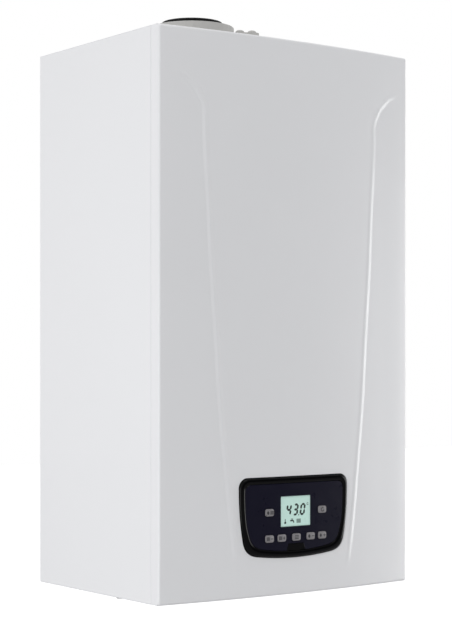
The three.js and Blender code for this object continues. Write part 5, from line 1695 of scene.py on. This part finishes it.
@dataclass
class FlueTop:
    """What stands on the flue socket: its lip seal, and the sampling caps in their collar.

    `seal` and `cap` are sections, as radius and height. The caps stand at `places`, distances from
    the flue's axis along a lug that is turned by `lug_turn` degrees. `grip` numbers the points of
    the cap's section that are fluted.
    """

    palette: Palette
    axis: Pair = (0.0, -0.070)
    around: int = 96
    seal: tuple[Pair, ...] = (
        (0.0320, 0.1103), (0.0380, 0.1103), (0.0380, 0.1122), (0.0384, 0.1131),
        (0.0398, 0.1142), (0.0412, 0.1156), (0.0416, 0.1165), (0.0413, 0.1172),
        (0.0404, 0.1173), (0.0390, 0.1167), (0.0368, 0.1158), (0.0345, 0.1156),
        (0.0328, 0.1163), (0.0320, 0.1160), (0.0320, 0.1103),
    )
    cap: tuple[Pair, ...] = (
        (0.0000, 0.0906), (0.0034, 0.0906), (0.0040, 0.0912), (0.0040, 0.1006),
        (0.0060, 0.1006), (0.0065, 0.1011), (0.0065, 0.1072), (0.0062, 0.1082),
        (0.0052, 0.1095), (0.0034, 0.1105), (0.0014, 0.1109), (0.0000, 0.1109),
    )
    grip: tuple[int, int] = (5, 6)
    flutes: int = 12
    flute_depth: float = 0.0005
    crease: float = 50.0
    lug_turn: float = -25.0
    places: Pair = (0.067, 0.084)
    collar: Point = (0.0340, 0.0220, 0.0040)
    collar_span: Pair = (0.1003, 0.1062)
    collar_edge: float = 0.0008
    collar_hole: float = 0.0071
    drill: float = 0.02

    def build(self) -> None:
        """Model the seal, the collar and the two caps."""
        seal = loft("flue_seal_lip", self._turned(self.seal, self.axis)).smooth(self.crease)
        piece = seal.finished(self.palette, Look.SEAL_BLACK, Body.CASING)
        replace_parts(piece, "flue_lip_seal")
        self._collar()
        for body, place in zip((Body.CAP_INNER, Body.CAP_OUTER), self.places):
            rings = self._turned(self.cap, self._on_lug(place), self.flutes)
            cap = loft(body.value + "_head", rings).smooth(self.crease)
            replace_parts(cap.finished(self.palette, Look.FLUE_GREY, body), body.value)

    def _on_lug(self, along: float, across: float = 0.0) -> Pair:
        """Find a point of the lug.

        Args:
            along: Its distance from the flue's axis along the lug.
            across: Its distance across the lug.

        Returns:
            The point as x and y.
        """
        turn = math.radians(self.lug_turn)
        x = along * math.cos(turn) - across * math.sin(turn)
        return self.axis[0] + x, self.axis[1] + along * math.sin(turn) + across * math.cos(turn)

    def _turned(
        self, profile: Sequence[Pair], axis: Pair, flutes: int = 0
    ) -> list[list[Point]]:
        """The rings of a profile spun about an upright axis.

        Args:
            profile: Its points as radius and height.
            axis: The axis as x and y.
            flutes: The hollows around its grip, if any.

        Returns:
            The rings.
        """
        rings = []
        for index, (radius, z) in enumerate(profile):
            ring = []
            for step in range(self.around):
                turn = 2 * math.pi * step / self.around
                hollow = (1.0 - math.cos(turn * flutes)) / 2 if index in self.grip else 0.0
                reach = radius - self.flute_depth * hollow
                ring.append((axis[0] + reach * math.cos(turn), axis[1] + reach * math.sin(turn), z))
            rings.append(ring)
        return rings

    def _collar(self) -> None:
        """The raised collar on the lug, with a well round each cap."""
        length, width, corner = self.collar
        middle = (self.places[0] + self.places[1]) / 2
        corners = rounded(length, width, corner, (middle, 0.0))
        low, high = self.collar_span
        outline = [self._on_lug(*point) for point in corners]
        shape = slab("sampling_collar", outline, low, high, self.collar_edge)
        for place in self.places:
            centre = (*self._on_lug(place), (low + high) / 2)
            shape.cut(Shape.drum("well", centre, self.collar_hole, self.drill, Axis.Z))
        shape.smooth(35.0).finished(self.palette, Look.FLUE_GREY, Body.CASING)


@dataclass
class Fasteners:
    """The hexagon screws, with washers, that hold the covers inside the casing.

    `head` and `washer` are a radius and a height. `sets` gives for each node the y of its front and
    the places of its screws as x and z. The burner door's stand in a ring.
    """

    palette: Palette
    head: Pair = (0.0040, 0.0030)
    washer: Pair = (0.0054, 0.0009)
    round_off: float = 0.0003
    burner_front: float = -0.2043
    burner_ring: tuple[int, float] = (8, 0.1045)
    burner_middle: Pair = (-0.045, -0.140)
    sets: dict[str, tuple[float, tuple[Pair, ...]]] = field(default_factory=lambda: {
        "fan_housing": (-0.2420, (
            (-0.057, -0.2855), (-0.113, -0.2855), (-0.057, -0.3825), (-0.113, -0.3825),
        )),
        "pump_flange": (-0.1163, (
            (0.1243, -0.4457), (0.0657, -0.4457), (0.1243, -0.5043), (0.0657, -0.5043),
        )),
        "gas_valve": (-0.2823, (
            (0.0263, -0.3640), (0.0723, -0.3640), (0.0263, -0.3130), (0.0723, -0.3130),
        )),
    })

    def build(self) -> None:
        """Model one screw and set its copies in place."""
        count, radius = self.burner_ring
        turns = [2 * math.pi * (index + 0.5) / count for index in range(count)]
        across, up = self.burner_middle
        ring = tuple((across + radius * math.cos(t), up + radius * math.sin(t)) for t in turns)
        model = self._screw()
        for name, (front, places) in {
            **self.sets, "burner_door": (self.burner_front, ring),
        }.items():
            copies = [model.copied("screw", (x, front, z)) for x, z in places]
            piece = joined(name + "_screws", copies).smooth(30.0)
            piece.finished(self.palette, Look.ZINC, Body.CASING, Look.GALVANISED)
        bpy.data.objects.remove(model.thing, do_unlink=True)

    def _screw(self) -> Shape:
        """Model one screw's head on its washer.

        Returns:
            The screw, standing forward of the origin.
        """
        corner, height = self.head
        radius, thick = self.washer
        disc = plate("washer", self._circle(radius, 32), -thick, 0.0)
        head = plate("head", self._circle(corner, 6), -thick - height, -thick)
        disc.soften(self.round_off, 2, 60.0)
        head.soften(self.round_off, 2, 40.0)
        return joined("screw", [disc, head])

    @staticmethod
    def _circle(radius: float, sides: int) -> list[Pair]:
        """A regular outline about the origin."""
        turns = [2 * math.pi * step / sides for step in range(sides)]
        return [(radius * math.cos(turn), radius * math.sin(turn)) for turn in turns]


@dataclass
class Dressing:
    """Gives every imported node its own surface, and rounds its edges.

    `edges` names the nodes whose edges are rounded by more than the rest.
    """

    palette: Palette
    edge: float = 0.0004
    edges: dict[str, float] = field(default_factory=lambda: {
        "left_side_panel": 0.0012, "right_side_panel": 0.0012, "top_panel": 0.0005,
        "gas_valve": 0.0015, "plate_exchanger": 0.0008, "control_housing": 0.0006,
        "fan_housing": 0.001, "pump_motor": 0.001, "pump_housing": 0.001,
        "condensate_trap": 0.002, "burner_door": 0.001, "flue_adapter": 0.0008,
        "expansion_vessel": 0.004, "heat_exchanger_shell": 0.001, "flow_manifold": 0.0012,
        "return_manifold": 0.0012, "diverter_actuator": 0.0015, "premix_duct": 0.0012,
    })
    merge: float = 0.00002
    segments: int = 2
    sharp: float = 40.0

    def build(self, frame: dict) -> None:
        """Dress the nodes by their slots' names.

        Args:
            frame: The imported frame.
        """
        for name, node in frame["nodes"].items():
            for place in node.material_slots:
                look = Look[place.material.name.split(".")[0].upper()]
                place.material = self.palette.of(look)
            self._round(node, self.edges.get(name, self.edge))
            LOG.info("dressed %s", name)

    def _round(self, node: bpy.types.Object, width: float) -> None:
        """Round a node's sharp edges with live modifiers, which leave its mesh as it is.

        Args:
            node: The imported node.
            width: The rounding's width.
        """
        node.modifiers.new("weld", "WELD").merge_threshold = self.merge
        bevel = node.modifiers.new("edge", "BEVEL")
        bevel.width = width
        bevel.segments = self.segments
        bevel.limit_method = "ANGLE"
        bevel.angle_limit = math.radians(self.sharp)
        bevel.use_clamp_overlap = True
        node.modifiers.new("normals", "WEIGHTED_NORMAL").keep_sharp = True


def main() -> None:
    """Build the boiler's looks over the frame."""
    logging.basicConfig(level=logging.INFO, format="%(message)s")
    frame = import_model()
    Studio().build()
    palette = Palette()
    Dressing(palette).build(frame)
    FrontCover(palette).build()
    Fascia(palette).build()
    Readout(palette).build()
    FlueTop(palette).build()
    Fasteners(palette).build()


if __name__ == "__main__":
    main()
